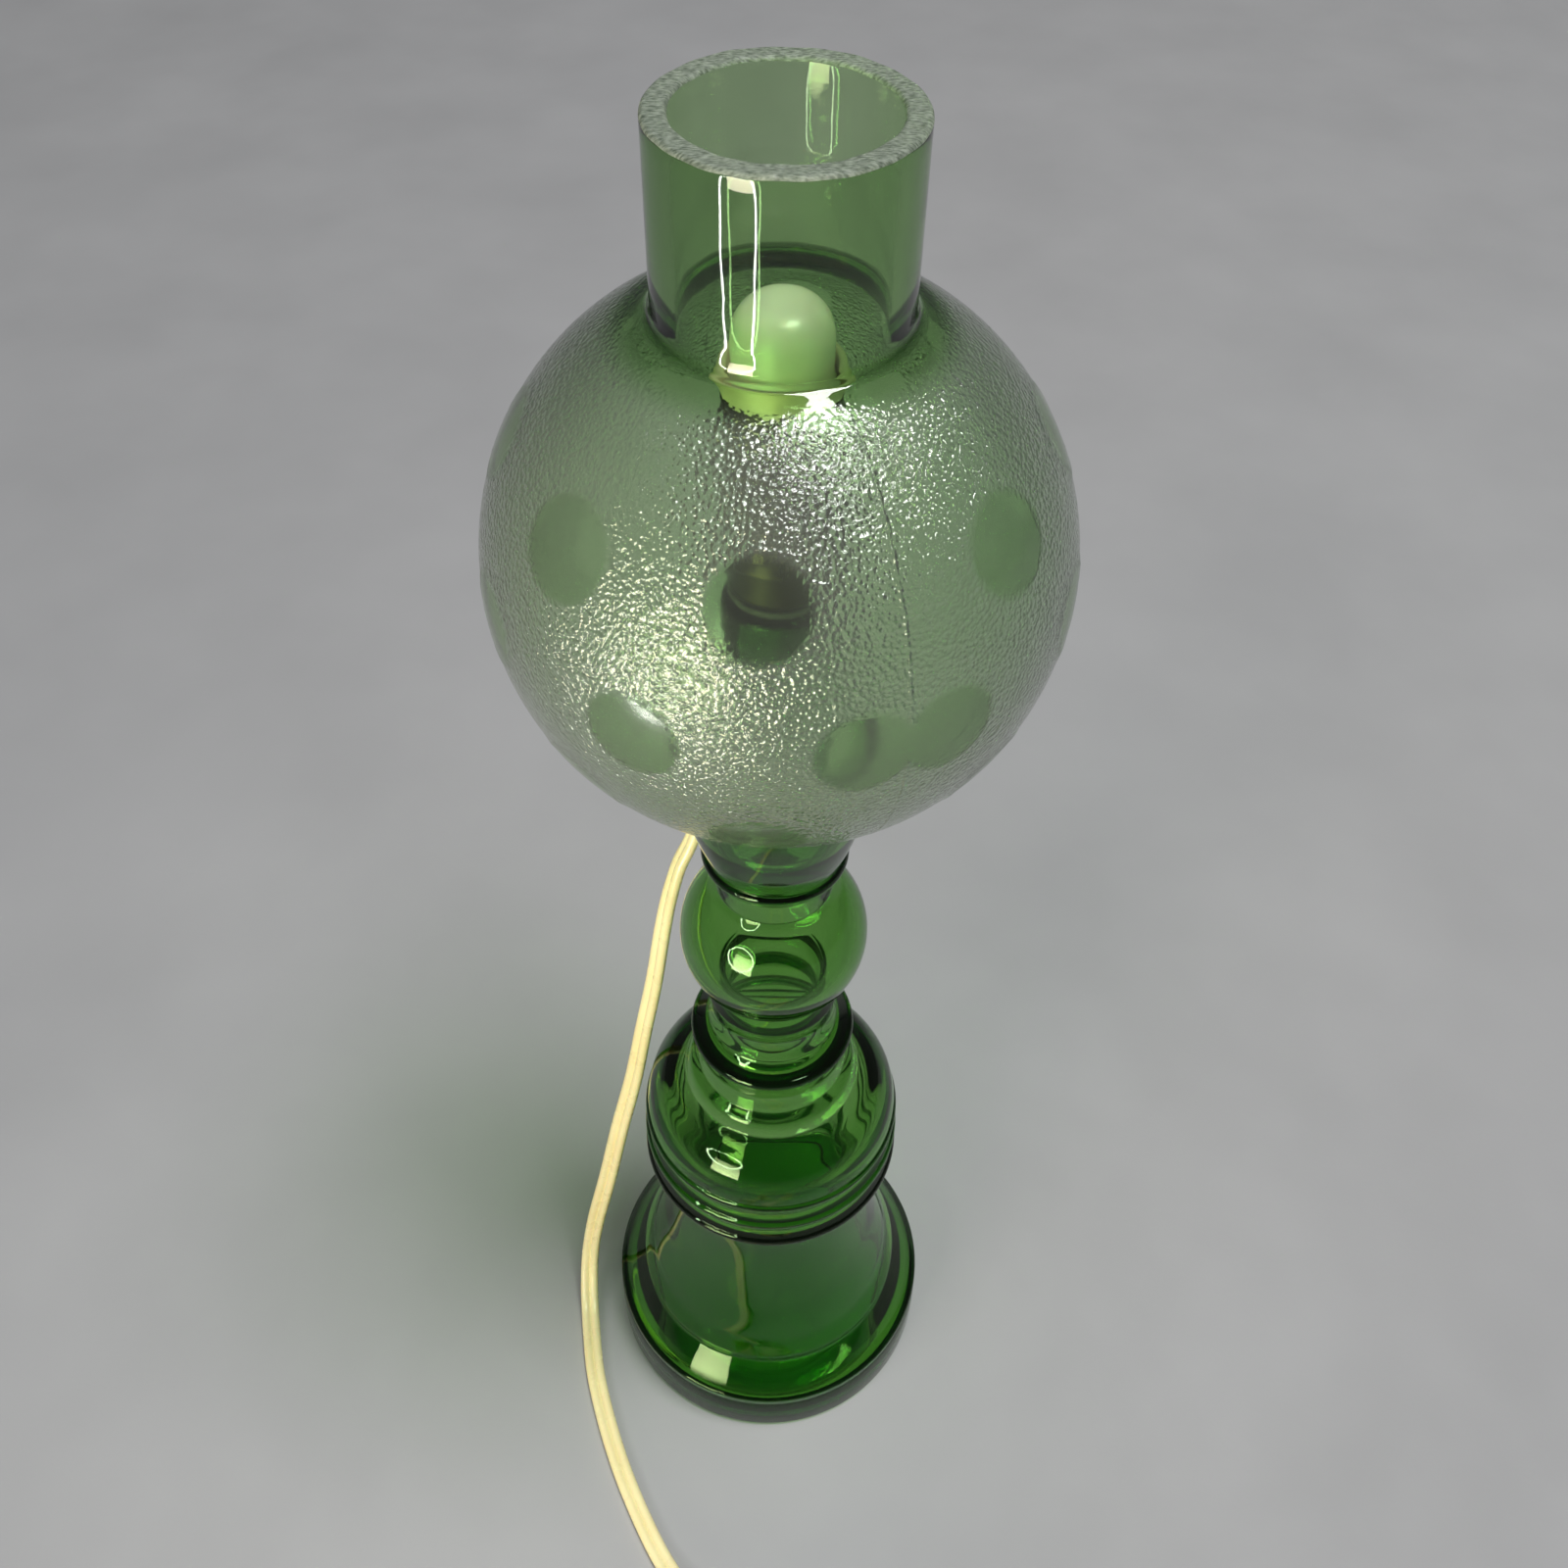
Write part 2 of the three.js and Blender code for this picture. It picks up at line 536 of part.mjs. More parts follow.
// From the notch in the cup's rim, down the back and left side, across the floor to the coil.
const CORD_ROUTE = [
  [-8.6, 23, 276], [-9.6, 25.8, 275.9], [-10.6, 28.3, 275], [-11.8, 31.6, 272.9],
  [-12.8, 34.1, 269.3], [-13.3, 35.4, 264.8], [-13.7, 35.5, 258], [-14.5, 34.2, 248],
  [-16.2, 31.6, 236], [-18.8, 28.6, 224.5], [-22.5, 25.5, 213.3], [-25.3, 23.7, 207.2],
  [-27.2, 21.9, 201], [-28.8, 20.2, 194.5], [-30.7, 17.9, 184.2], [-33.7, 14.9, 164.8],
  [-37.7, 12.3, 143.3], [-42, 10.2, 119.1], [-47.7, 8.2, 92.6], [-53.4, 6.2, 63.6],
  [-59.4, 3.6, 36], [-61.8, 1.5, 22], [-62.7, -0.9, 14.6], [-63, -4.2, 9], [-62.9, -8.4, 5.2],
  [-62.4, -13, 2.9], [-61.5, -19.5, 1.9], [-58.6, -35, FLOOR_Z], [-53.4, -51.3, FLOOR_Z],
  [-47, -66.9, FLOOR_Z], [-39.4, -81.8, FLOOR_Z], [-32.4, -93.4, 1.8], [-26.6, -101, 2.9],
  [-18.6, -109, 5], [-9.8, -117.6, SWITCH_CORD_Z], [9, -140, SWITCH_CORD_Z],
  [27.8, -162.6, SWITCH_CORD_Z], [32.6, -168.4, 6], [36.8, -173.3, 5.2],
];

addMesh(lamp, 'cord_run', flatCord(CORD_ROUTE.map((p) => new THREE.Vector3(...p)), 70),
  creamVinyl);

// Places a shape made along +X at the tie's angle around the coil.
function atTie(geometry) {
  return geometry.rotateZ(TIE_ANGLE).translate(COIL_CENTRE.x, COIL_CENTRE.y, 0);
}

// The outer shape of the coiled cord, lifted a little where the tie passes under it.
function cordCoil() {
  const ring = turnedRing([[COIL_INNER_R, COIL_Z], [COIL_OUTER_R, COIL_Z],
    [COIL_OUTER_R, COIL_TOP_Z], [COIL_INNER_R, COIL_TOP_Z]], 32);
  const gap = box(20, TIE_WIDTH + 4, 2, (COIL_INNER_R + COIL_OUTER_R) / 2, 0, 0);
  return cut(ring.translate(COIL_CENTRE.x, COIL_CENTRE.y, 0), atTie(gap));
}

// The tie: a closed band around the coil's section.
function coilTie() {
  const z0 = 0.05;
  const z1 = COIL_TOP_Z + TIE_WALL + 0.8;
  const width = COIL_OUTER_R - COIL_INNER_R + 1.2;
  const band = roundedBox(width + 2 * TIE_WALL, z1 - z0, 1.6);
  const hole = roundedBox(width, z1 - z0 - 2 * TIE_WALL, 1).getPoints(5).reverse();
  band.holes.push(new THREE.Path(hole));
  const tie = extruded(band, TIE_WIDTH, 5).translate(0, 0, -TIE_WIDTH / 2);
  tie.rotateX(Math.PI / 2);
  return atTie(tie.translate((COIL_INNER_R + COIL_OUTER_R) / 2, 0, (z0 + z1) / 2));
}

addMesh(lamp, 'cord_coil', cordCoil(), creamVinyl);
addMesh(lamp, 'coil_tie', coilTie(), blackRubber);

// ---------------------------------------------------------------- in-line switch
const SWITCH_W = 19;
const SWITCH_SPLIT_Z = 8.4;
const SWITCH_TOP_Z = 14.6;
const WHEEL_R = 7.6;
const WHEEL_OFFSET = 4.8;       // wheel's axle, to the side of the cord
const WHEEL_Z = 9;
const WHEEL_TOP_Z = 12;
const SCREW_AT = [[-21, -6.2], [21, -6.2]];

const switchGroup = new THREE.Group();
switchGroup.position.copy(SWITCH_AT);
switchGroup.rotation.z = Math.atan2(HEADING.y, HEADING.x);
lamp.add(switchGroup);

function switchShell(z0, z1, ...tools) {
  const shell = extruded(stadium(SWITCH_L, SWITCH_W), z1 - z0, 6).translate(0, 0, z0);
  return cut(shell, ...tools);
}

function atScrews(makeTool) {
  return SCREW_AT.map(([x, y]) => makeTool().translate(x, y, 0));
}

function wheel() {
  const shape = new THREE.Shape();
  const teeth = 20;
  for (let i = 0; i < teeth * 2; i++) {
    const angle = i * Math.PI / teeth;
    const radius = WHEEL_R - (i % 2) * 0.5;
    const point = [radius * Math.cos(angle), radius * Math.sin(angle)];
    if (i === 0) shape.moveTo(...point);
    else shape.lineTo(...point);
  }
  shape.closePath();
  const hole = new THREE.Path();
  hole.absarc(0, 0, 1.35, 0, Math.PI * 2, true);
  shape.holes.push(hole);
  return extruded(shape, WHEEL_TOP_Z - WHEEL_Z, 6).translate(0, WHEEL_OFFSET, WHEEL_Z);
}

const cordChannel = () => box(SWITCH_L + 4, CORD_W + 1, 6, 0, 0, SWITCH_CORD_Z + 1);
const axleHole = () => rod(1.3, 4.6, 13.6, 12).translate(0, WHEEL_OFFSET, 0);
addMesh(switchGroup, 'switch_lower_shell', switchShell(0.05, SWITCH_SPLIT_Z, cordChannel(),
  axleHole(), ...atScrews(() => rod(1.3, 2, 20, 12))), creamPlastic);
addMesh(switchGroup, 'switch_upper_shell', switchShell(SWITCH_SPLIT_Z + GAP, SWITCH_TOP_Z,
  axleHole(), rod(WHEEL_R + 0.5, 8, WHEEL_TOP_Z + 0.4).translate(0, WHEEL_OFFSET, 0),
  ...atScrews(() => rod(1.3, 2, 20, 12)),
  ...atScrews(() => rod(2.4, SWITCH_TOP_Z - 1.8, 20, 12))), creamPlastic);
addMesh(switchGroup, 'switch_wheel', wheel(), creamPlastic);
addMesh(switchGroup, 'switch_axle', rod(1, 4.9, 13.3, 12).translate(0, WHEEL_OFFSET, 0), steel);
SCREW_AT.forEach(([x, y], i) => {
  const screw = turned([[0, 2.4], [1, 2.4], [1, SWITCH_TOP_Z - 1.5], [2.1, SWITCH_TOP_Z - 1.5],
    [2.1, SWITCH_TOP_Z - 0.3], [0, SWITCH_TOP_Z - 0.3]], 12);
  const slot = box(5, 0.6, 1, 0, 0, SWITCH_TOP_Z - 0.3);
  addMesh(switchGroup, `switch_screw_${i + 1}`, cut(screw, slot).translate(x, y, 0), steel);
});

// ---------------------------------------------------------------- plug
const PLUG_Z = 6.5;             // cord's centre in the plug
const PLUG_AT = new THREE.Vector3(-26.7, -178.5, 0);
const PLUG_TURN = 0.2;          // radians left of +Y
const BLADE_SPREAD = 12.7;
const BLADE_L = 17.5;

addMesh(lamp, 'cord_tail', flatCord([
  new THREE.Vector3(-23.7, -194.6, 8.3), new THREE.Vector3(-24.5, -189.6, 7.4),
  new THREE.Vector3(-25.6, -184, 6.7), new THREE.Vector3(-26.7, -178.5, PLUG_Z)], 6),
  creamVinyl);

const plugGroup = new THREE.Group();
plugGroup.position.copy(PLUG_AT);
plugGroup.rotation.z = PLUG_TURN;
lamp.add(plugGroup);

// Solid lofted along +Y through rounded rectangles [y, width, height].
function lofted(sections, radiusShare = 0.3) {
  const corners = 4;
  const positions = [];
  const indices = [];
  for (const [y, width, height] of sections) {
    const radius = Math.min(width, height) * radiusShare;
    for (const [sx, sz, start] of [[1, 1, 0], [-1, 1, 90], [-1, -1, 180], [1, -1, 270]]) {
      for (const [x, z] of arc(sx * (width / 2 - radius), sz * (height / 2 - radius), radius,
        start, start + 90, corners - 1)) positions.push(x, y, z);
    }
  }
  const ring = corners * 4;
  const last = sections.length - 1;
  for (let s = 0; s < last; s++) {
    for (let i = 0; i < ring; i++) {
      const a = s * ring + i;
      const b = s * ring + (i + 1) % ring;
      indices.push(a, a + ring, b, b, a + ring, b + ring);
    }
  }
  for (let i = 1; i < ring - 1; i++) {
    indices.push(0, i, i + 1);
    indices.push(last * ring, last * ring + i + 1, last * ring + i);
  }
  const geometry = new THREE.BufferGeometry();
  geometry.setAttribute('position', new THREE.Float32BufferAttribute(positions, 3));
  geometry.setIndex(indices);
  return geometry;
}

const PLUG_START = 22.6;        // where the strain relief meets the plug's body
const PLUG_END = 47;
addMesh(plugGroup, 'plug_strain_relief', cut(
  lofted([[0.3, 7.8, 4.9], [11, 8.8, 6], [PLUG_START - 0.3, 10.6, 8]]),
  box(CORD_W + 0.6, 60, CORD_T + 0.6, 0, 0, 0)).translate(0, 0, PLUG_Z), creamVinyl);
const bladeSlots = [-1, 1].map((side) => box(2.1, 12, 7, side * BLADE_SPREAD / 2, PLUG_END, 0));
addMesh(plugGroup, 'plug_body', cut(
  lofted([[PLUG_START, 12, 9], [26.6, 17.6, 11.4], [33, 21.6, 12.7], [PLUG_END - 3, 23, 12.7],
    [PLUG_END, 22, 12]]), ...bladeSlots).translate(0, 0, PLUG_Z), creamVinyl);
for (const [side, name] of [[-1, 'live'], [1, 'neutral']]) {
  const blade = new THREE.Shape();
  const end = PLUG_END + BLADE_L;
  blade.moveTo(PLUG_END - 5, -3.15);
  blade.lineTo(end - 1.4, -3.15);
  blade.lineTo(end, -1.8);
  blade.lineTo(end, 1.8);
  blade.lineTo(end - 1.4, 3.15);
  blade.lineTo(PLUG_END - 5, 3.15);
  blade.closePath();
  const hole = new THREE.Path();
  hole.absarc(end - 5, 0, 1.5, 0, Math.PI * 2, true);
  blade.holes.push(hole);
  const flat = extruded(blade, 1.5, 6).translate(0, 0, -0.75);
  flat.applyMatrix4(new THREE.Matrix4().makeBasis(new THREE.Vector3(0, 1, 0),
    new THREE.Vector3(0, 0, 1), new THREE.Vector3(1, 0, 0)));
  addMesh(plugGroup, `plug_blade_${name}`,
    flat.translate(side * BLADE_SPREAD / 2, 0, PLUG_Z), brass);
}

export default lamp;
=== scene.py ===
import math

import bpy
import numpy as np
from mathutils import Matrix, Vector


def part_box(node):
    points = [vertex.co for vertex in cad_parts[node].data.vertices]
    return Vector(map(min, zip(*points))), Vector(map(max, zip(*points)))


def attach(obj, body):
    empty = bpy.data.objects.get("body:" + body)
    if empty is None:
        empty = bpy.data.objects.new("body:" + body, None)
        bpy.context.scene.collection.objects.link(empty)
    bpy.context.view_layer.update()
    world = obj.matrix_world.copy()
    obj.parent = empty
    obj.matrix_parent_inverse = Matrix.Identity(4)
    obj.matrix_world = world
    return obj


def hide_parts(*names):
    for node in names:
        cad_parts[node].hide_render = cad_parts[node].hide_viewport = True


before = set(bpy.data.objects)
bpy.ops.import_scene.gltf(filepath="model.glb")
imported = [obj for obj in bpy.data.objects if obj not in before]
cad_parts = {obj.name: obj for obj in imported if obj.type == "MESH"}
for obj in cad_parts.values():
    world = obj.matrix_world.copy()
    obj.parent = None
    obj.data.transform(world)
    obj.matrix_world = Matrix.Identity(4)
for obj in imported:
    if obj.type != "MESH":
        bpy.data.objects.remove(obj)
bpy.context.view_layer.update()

# ---- places from the frame
BASE_LOW, BASE_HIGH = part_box("glass_base")
SHADE_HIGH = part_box("glass_shade")[1]
SOCKET_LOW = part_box("socket_cap")[0]
BULB_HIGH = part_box("bulb_glass")[1]
FLOOR_Z = BASE_LOW.z
MM = 0.001

# ---- sizes in millimetres
TOP_Z = SHADE_HIGH.z * 1000
FOOT_R = BASE_HIGH.x * 1000
GLOBE_R = 57.5
GLOBE_Z = TOP_Z - 87.0
GLOBE_WALL = 3.6
CHIMNEY_R = 22.6
CHIMNEY_BORE_R = 18.2
SHADE_MOUTH_R = 17.0
SEAT_R = GLOBE_R + 0.3
CUP_RIM_R = 24.3
BALL_R = 23.9
BALL_Z = 211.0
NECK_R = 11.8
NECK_BORE_R = 9.0
NECK_TOP_Z = BASE_HIGH.z * 1000
SOCKET_R = 10.9
SOCKET_Z = SOCKET_LOW.z * 1000
CAP_TOP_Z = 341.0
COLLAR_Z = 370.0
SOCKET_TOP_Z = 377.5
BULB_R = 9.2
BULB_TOP_Z = BULB_HIGH.z * 1000
BULB_WALL = 0.7
DOME_H = 8.4
DOME_POWER = 0.74                    # 1 is a half ellipse, less is a flatter dome
SEAM_AZIMUTH = math.radians(23.4)    # mould seam, from the front towards +X

# ---- camera
CAMERA_AT = Vector((0.0, -0.230, 0.522))
PITCH = math.radians(48.1)
YAW = math.radians(0.46)
ROLL = math.radians(1.23)


def add_camera():
    data = bpy.data.cameras.new("camera")
    data.sensor_width = 36.0
    data.lens = 34.67
    data.clip_start = 0.01
    camera = bpy.data.objects.new("camera", data)
    bpy.context.scene.collection.objects.link(camera)
    across = math.cos(PITCH)
    forward = Vector((math.sin(YAW) * across, math.cos(YAW) * across, -math.sin(PITCH)))
    right = Vector((math.cos(YAW), -math.sin(YAW), 0.0))
    up = right.cross(forward)
    turned_right = math.cos(ROLL) * right + math.sin(ROLL) * up
    turned_up = -math.sin(ROLL) * right + math.cos(ROLL) * up
    camera.matrix_world = Matrix([
        [turned_right[i], turned_up[i], -forward[i], CAMERA_AT[i]] for i in range(3)
    ] + [[0, 0, 0, 1]])
    bpy.context.scene.camera = camera


add_camera()


# ---- curves and profiles
def spline(points, step):
    """Points about step apart on a centripetal Catmull-Rom curve through the given ones."""
    p = np.array(points, float)
    p = np.vstack([2 * p[0] - p[1], p, 2 * p[-1] - p[-2]])
    out = []
    for a, b, c, d in zip(p, p[1:], p[2:], p[3:]):
        t1 = max(np.linalg.norm(b - a), 1e-9) ** 0.5
        t2 = t1 + max(np.linalg.norm(c - b), 1e-9) ** 0.5
        t3 = t2 + max(np.linalg.norm(d - c), 1e-9) ** 0.5
        n = max(1, int(round(np.linalg.norm(c - b) / step)))
        for t in np.linspace(t1, t2, n, endpoint=False):
            ab = (t1 - t) / t1 * a + t / t1 * b
            bc = (t2 - t) / (t2 - t1) * b + (t - t1) / (t2 - t1) * c
            cd = (t3 - t) / (t3 - t2) * c + (t - t2) / (t3 - t2) * d
            abc = (t2 - t) / t2 * ab + t / t2 * bc
            bcd = (t3 - t) / (t3 - t1) * bc + (t - t1) / (t3 - t1) * cd
            out.append((t2 - t) / (t2 - t1) * abc + (t - t1) / (t2 - t1) * bcd)
    out.append(p[-2])
    return np.array(out)


def evenly(points, step):
    """The same line with its points at equal steps."""
    lengths = np.linalg.norm(np.diff(points, axis=0), axis=1)
    along = np.concatenate([[0], np.cumsum(lengths)])
    n = max(2, int(round(along[-1] / step)) + 1)
    at = np.linspace(0, along[-1], n)
    return np.column_stack([np.interp(at, along, points[:, k]) for k in range(3)])


def smoothstep(x, low, high):
    t = np.clip((x - low) / (high - low), 0, 1)
    return t * t * (3 - 2 * t)


def smooth(points, step=1.0):
    return [tuple(p) for p in spline(points, step)]


def arc(r, z, radius, start, end, step=1.0):
    """Arc of a profile about (r, z), angles in degrees from +radius towards +z."""
    n = max(3, int(abs(math.radians(end - start)) * radius / step))
    angles = [math.radians(start + (end - start) * i / n) for i in range(n + 1)]
    return [(r + radius * math.cos(a), z + radius * math.sin(a)) for a in angles]


def rounded(profile, radius, closed=False, steps=3):
    """The profile with its corners rounded off."""
    p = [Vector((q[0], q[1])) for q in profile]
    out = []
    for i, here in enumerate(p):
        if not closed and i in (0, len(p) - 1):
            out.append(tuple(here))
            continue
        before, after = p[i - 1], p[(i + 1) % len(p)]
        u, v = here - before, after - here
        if u.length < 1e-6 or v.length < 1e-6:
            continue
        if u.angle(v) < math.radians(18):
            out.append(tuple(here))
            continue
        d = min(radius, 0.42 * u.length, 0.42 * v.length)
        start, end = here - u.normalized() * d, here + v.normalized() * d
        for k in range(steps + 1):
            t = k / steps
            out.append(tuple((1 - t) ** 2 * start + 2 * t * (1 - t) * here + t * t * end))
    return out


def finely(profile, step, closed=False):
    """The profile with points added, so that none are further apart than step."""
    pairs = list(zip(profile, profile[1:] + profile[:1] if closed else profile[1:]))
    out = []
    for a, b in pairs:
        n = max(1, math.ceil(math.dist(a, b) / step))
        out += [(a[0] + (b[0] - a[0]) * k / n, a[1] + (b[1] - a[1]) * k / n) for k in range(n)]
    return out if closed else out + [profile[-1]]


# ---- solids
def add_object(name, vertices, faces, sharp=38):
    mesh = bpy.data.meshes.new(name)
    mesh.from_pydata([tuple(v) for v in vertices], [], faces)
    mesh.update()
    soften(mesh, sharp)
    obj = bpy.data.objects.new(name, mesh)
    bpy.context.scene.collection.objects.link(obj)
    return obj


def soften(mesh, sharp):
    mesh.polygons.foreach_set("use_smooth", [True] * len(mesh.polygons))
    mesh.set_sharp_from_angle(angle=math.radians(sharp))


def turned(name, profile, segments=64, closed=False, centre=(0, 0, 0), sharp=38):
    """A solid turned about an upright axis, from a profile of (radius, height) in millimetres.
    An open profile starts and ends on the axis."""
    area = sum(a[0] * b[1] - b[0] * a[1] for a, b in zip(profile, profile[1:] + profile[:1]))
    if area < 0:
        profile = profile[::-1]
    vertices, rows = [], []
    for r, z in profile:
        if r < 1e-4:
            rows.append([len(vertices)] * segments)
            vertices.append((centre[0], centre[1], centre[2] + z * MM))
            continue
        rows.append(list(range(len(vertices), len(vertices) + segments)))
        for k in range(segments):
            a = 2 * math.pi * k / segments
            vertices.append((centre[0] + r * MM * math.cos(a), centre[1] + r * MM * math.sin(a),
                             centre[2] + z * MM))
    faces = []
    for low, high in zip(rows, rows[1:] + rows[:1] if closed else rows[1:]):
        for k in range(segments):
            m = (k + 1) % segments
            face = [low[k], low[m], high[m], high[k]]
            face = [v for i, v in enumerate(face) if v != face[i - 1]]
            if len(face) > 2:
                faces.append(face)
    return add_object(name, vertices, faces, sharp)


def lofted(name, sections, place=None, sharp=38):
    """A closed solid through rings of points, each ring a list of (x, y, z) in metres."""
    ring = len(sections[0])
    vertices = [p for section in sections for p in section]
    if place is not None:
        vertices = [place @ Vector(p) for p in vertices]
    faces = []
    for s in range(len(sections) - 1):
        for k in range(ring):
            a, b = s * ring + k, s * ring + (k + 1) % ring
            faces.append((a, b, b + ring, a + ring))
    last = (len(sections) - 1) * ring
    faces.append(tuple(reversed(range(ring))))
    faces.append(tuple(range(last, last + ring)))
    return add_object(name, vertices, faces, sharp)


def cut_away(obj, *cutters, sharp=38):
    """obj with the cutters' volumes taken out of it."""
    for cutter in cutters:
        modifier = obj.modifiers.new("cut", "BOOLEAN")
        modifier.object = cutter
        modifier.operation = "DIFFERENCE"
        modifier.solver = "EXACT"
    bpy.context.view_layer.update()
    evaluated = obj.evaluated_get(bpy.context.evaluated_depsgraph_get())
    mesh = bpy.data.meshes.new_from_object(evaluated)
    obj.modifiers.clear()
    obj.data = mesh
    soften(mesh, sharp)
    for cutter in cutters:
        bpy.data.objects.remove(cutter)
    return obj


def stadium(length, width, steps=12):
    half = (length - width) / 2
    points = []
    for side in (1, -1):
        for i in range(steps + 1):
            a = math.radians(-90 + 180 * i / steps)
            points.append((side * (half + width / 2 * math.cos(a)), side * width / 2 * math.sin(a)))
    return points


def rectangle(half_x, half_y, at=(0, 0)):
    return [(at[0] + x * half_x, at[1] + y * half_y)
            for x, y in ((-1, -1), (1, -1), (1, 1), (-1, 1))]


def prism(name, outline, low, high, place=None):
    return lofted(name, [[(x, y, z) for x, y in outline] for z in (low, high)], place)


def round_outline(radius, steps=32):
    return [(radius * math.cos(2 * math.pi * k / steps), radius * math.sin(2 * math.pi * k / steps))
            for k in range(steps)]


def finish_piece(obj, material, *nodes, body="lamp", slot=None):
    """Gives obj its material and its body, and hides the CAD nodes that it stands for.
    The slot argument is not used."""
    obj.data.materials.clear()
    obj.data.materials.append(material)
    if nodes:
        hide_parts(*nodes)
    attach(obj, body)
    return obj


def turned_piece(name, profile, edge, segments, material, node, closed=True, body="lamp",
                 slot=None):
    """The detailed piece for a turned node, with its edges rounded."""
    piece = turned(name, rounded(profile, edge, closed), segments, closed)
    return finish_piece(piece, material, node, body=body, slot=slot)


# ---- materials
class Shader:
    """A small builder for node materials."""

    def __init__(self, name):
        self.material = bpy.data.materials.new(name)
        self.material.use_nodes = True
        self.tree = self.material.node_tree
        self.tree.nodes.clear()
        self.out = self.add("ShaderNodeOutputMaterial")
        self.place = self.add("ShaderNodeTexCoord").outputs["Object"]

    def add(self, kind, inputs=None, **settings):
        node = self.tree.nodes.new(kind)
        for key, value in settings.items():
            setattr(node, key, value)
        for key, value in (inputs or {}).items():
            if isinstance(value, bpy.types.NodeSocket):
                self.tree.links.new(value, node.inputs[key])
            else:
                node.inputs[key].default_value = value
        return node

    def stretched(self, scale):
        mapping = self.add("ShaderNodeMapping", {"Vector": self.place, "Scale": scale})
        return mapping.outputs["Vector"]

    def noise(self, scale, detail=3.0, vector=None):
        inputs = {"Vector": vector or self.place, "Scale": scale, "Detail": detail}
        return self.add("ShaderNodeTexNoise", inputs).outputs["Fac"]

    def cells(self, scale, smoothness=0.6):
        inputs = {"Vector": self.place, "Scale": scale, "Smoothness": smoothness}
        node = self.add("ShaderNodeTexVoronoi", inputs, feature="SMOOTH_F1")
        return node.outputs["Distance"]

    def range(self, value, low, high, start=0.3, end=0.7):
        inputs = {"Value": value, "From Min": start, "From Max": end, "To Min": low, "To Max": high}
        return self.add("ShaderNodeMapRange", inputs).outputs["Result"]

    def math(self, operation, a, b=0.0):
        node = self.add("ShaderNodeMath", {0: a, 1: b}, operation=operation)
        return node.outputs[0]

    def colours(self, value, dark, light, start=0.3, end=0.7):
        ramp = self.add("ShaderNodeValToRGB", {"Fac": value})
        ramp.color_ramp.elements[0].position = start
        ramp.color_ramp.elements[0].color = (*dark, 1)
        ramp.color_ramp.elements[1].position = end
        ramp.color_ramp.elements[1].color = (*light, 1)
        return ramp.outputs["Color"]

    def bump(self, height, strength, distance, normal=None):
        inputs = {"Height": height, "Strength": strength, "Distance": distance}
        if normal is not None:
            inputs["Normal"] = normal
        return self.add("ShaderNodeBump", inputs).outputs["Normal"]

    def principled(self, **inputs):
        named = {key.replace("_", " "): value for key, value in inputs.items()}
        return self.add("ShaderNodeBsdfPrincipled", named)

    def absorption(self, colour, density):
        inputs = {"Color": colour, "Density": density}
        return self.add("ShaderNodeVolumeAbsorption", inputs).outputs[0]

    def end(self, surface, volume=None):
        self.tree.links.new(surface, self.out.inputs["Surface"])
        if volume is not None:
            self.tree.links.new(volume, self.out.inputs["Volume"])
        return self.material


GRAIN_STRENGTH = 0.35
GLASS_IOR = 1.5


def plain_material(name, dark, light, scale, rough, bump_scale, bump_depth, metallic=0.0,
                   coat=0.0, stretch=None):
    """A worn solid surface: two close colours, patchy roughness and a fine grain."""
    s = Shader(name)
    vector = s.stretched(stretch) if stretch else None
    patches = s.noise(scale, 4.0, vector)
    grain = s.noise(bump_scale, 2.0, vector)
    shader = s.principled(
        Base_Color=s.colours(patches, dark, light), Metallic=metallic, Coat_Weight=coat,
        Roughness=s.range(s.noise(scale * 2.3, 3.0, vector), *rough),
        Normal=s.bump(grain, GRAIN_STRENGTH, bump_depth))
    return s.end(shader.outputs[0])


def through_glass(s, surface, tint):
    """Lets lamps through the glass, tinted, so that what stands behind and inside it is lit."""
    clear = s.add("ShaderNodeBsdfTransparent", {"Color": (*tint, 1)})
    rays = s.add("ShaderNodeLightPath")
    mix = s.add("ShaderNodeMixShader", {0: rays.outputs["Is Shadow Ray"], 1: surface,
                                        2: clear.outputs[0]})
    return mix.outputs[0]


def green_glass_material():
    """The base: smooth pressed glass, of a deep green."""
    s = Shader("green_glass")
    waves = s.noise(45.0, 1.5)
    shader = s.principled(
        Base_Color=s.colours(s.noise(28.0, 2.0), (0.86, 0.95, 0.82), (0.93, 0.99, 0.90)),
        Roughness=s.range(s.noise(240.0, 2.0), 0.012, 0.045), IOR=GLASS_IOR,
        Transmission_Weight=1.0, Specular_Tint=(0.55, 0.82, 0.45, 1),
        Normal=s.bump(waves, 0.10, 0.0012))
    surface = through_glass(s, shader.outputs[0], (0.50, 0.71, 0.34))
    return s.end(surface, s.absorption((0.30, 0.67, 0.02, 1), 355.0))


def seam_height(s):
    """A fine raised line down both sides of the mould's parting plane."""
    plane = (math.cos(SEAM_AZIMUTH), math.sin(SEAM_AZIMUTH), 0.0)
    dot = s.add("ShaderNodeVectorMath", {0: s.place, 1: plane}, operation="DOT_PRODUCT")
    return s.range(s.math("ABSOLUTE", dot.outputs["Value"]), 1.0, 0.0, 0.00005, 0.0005)


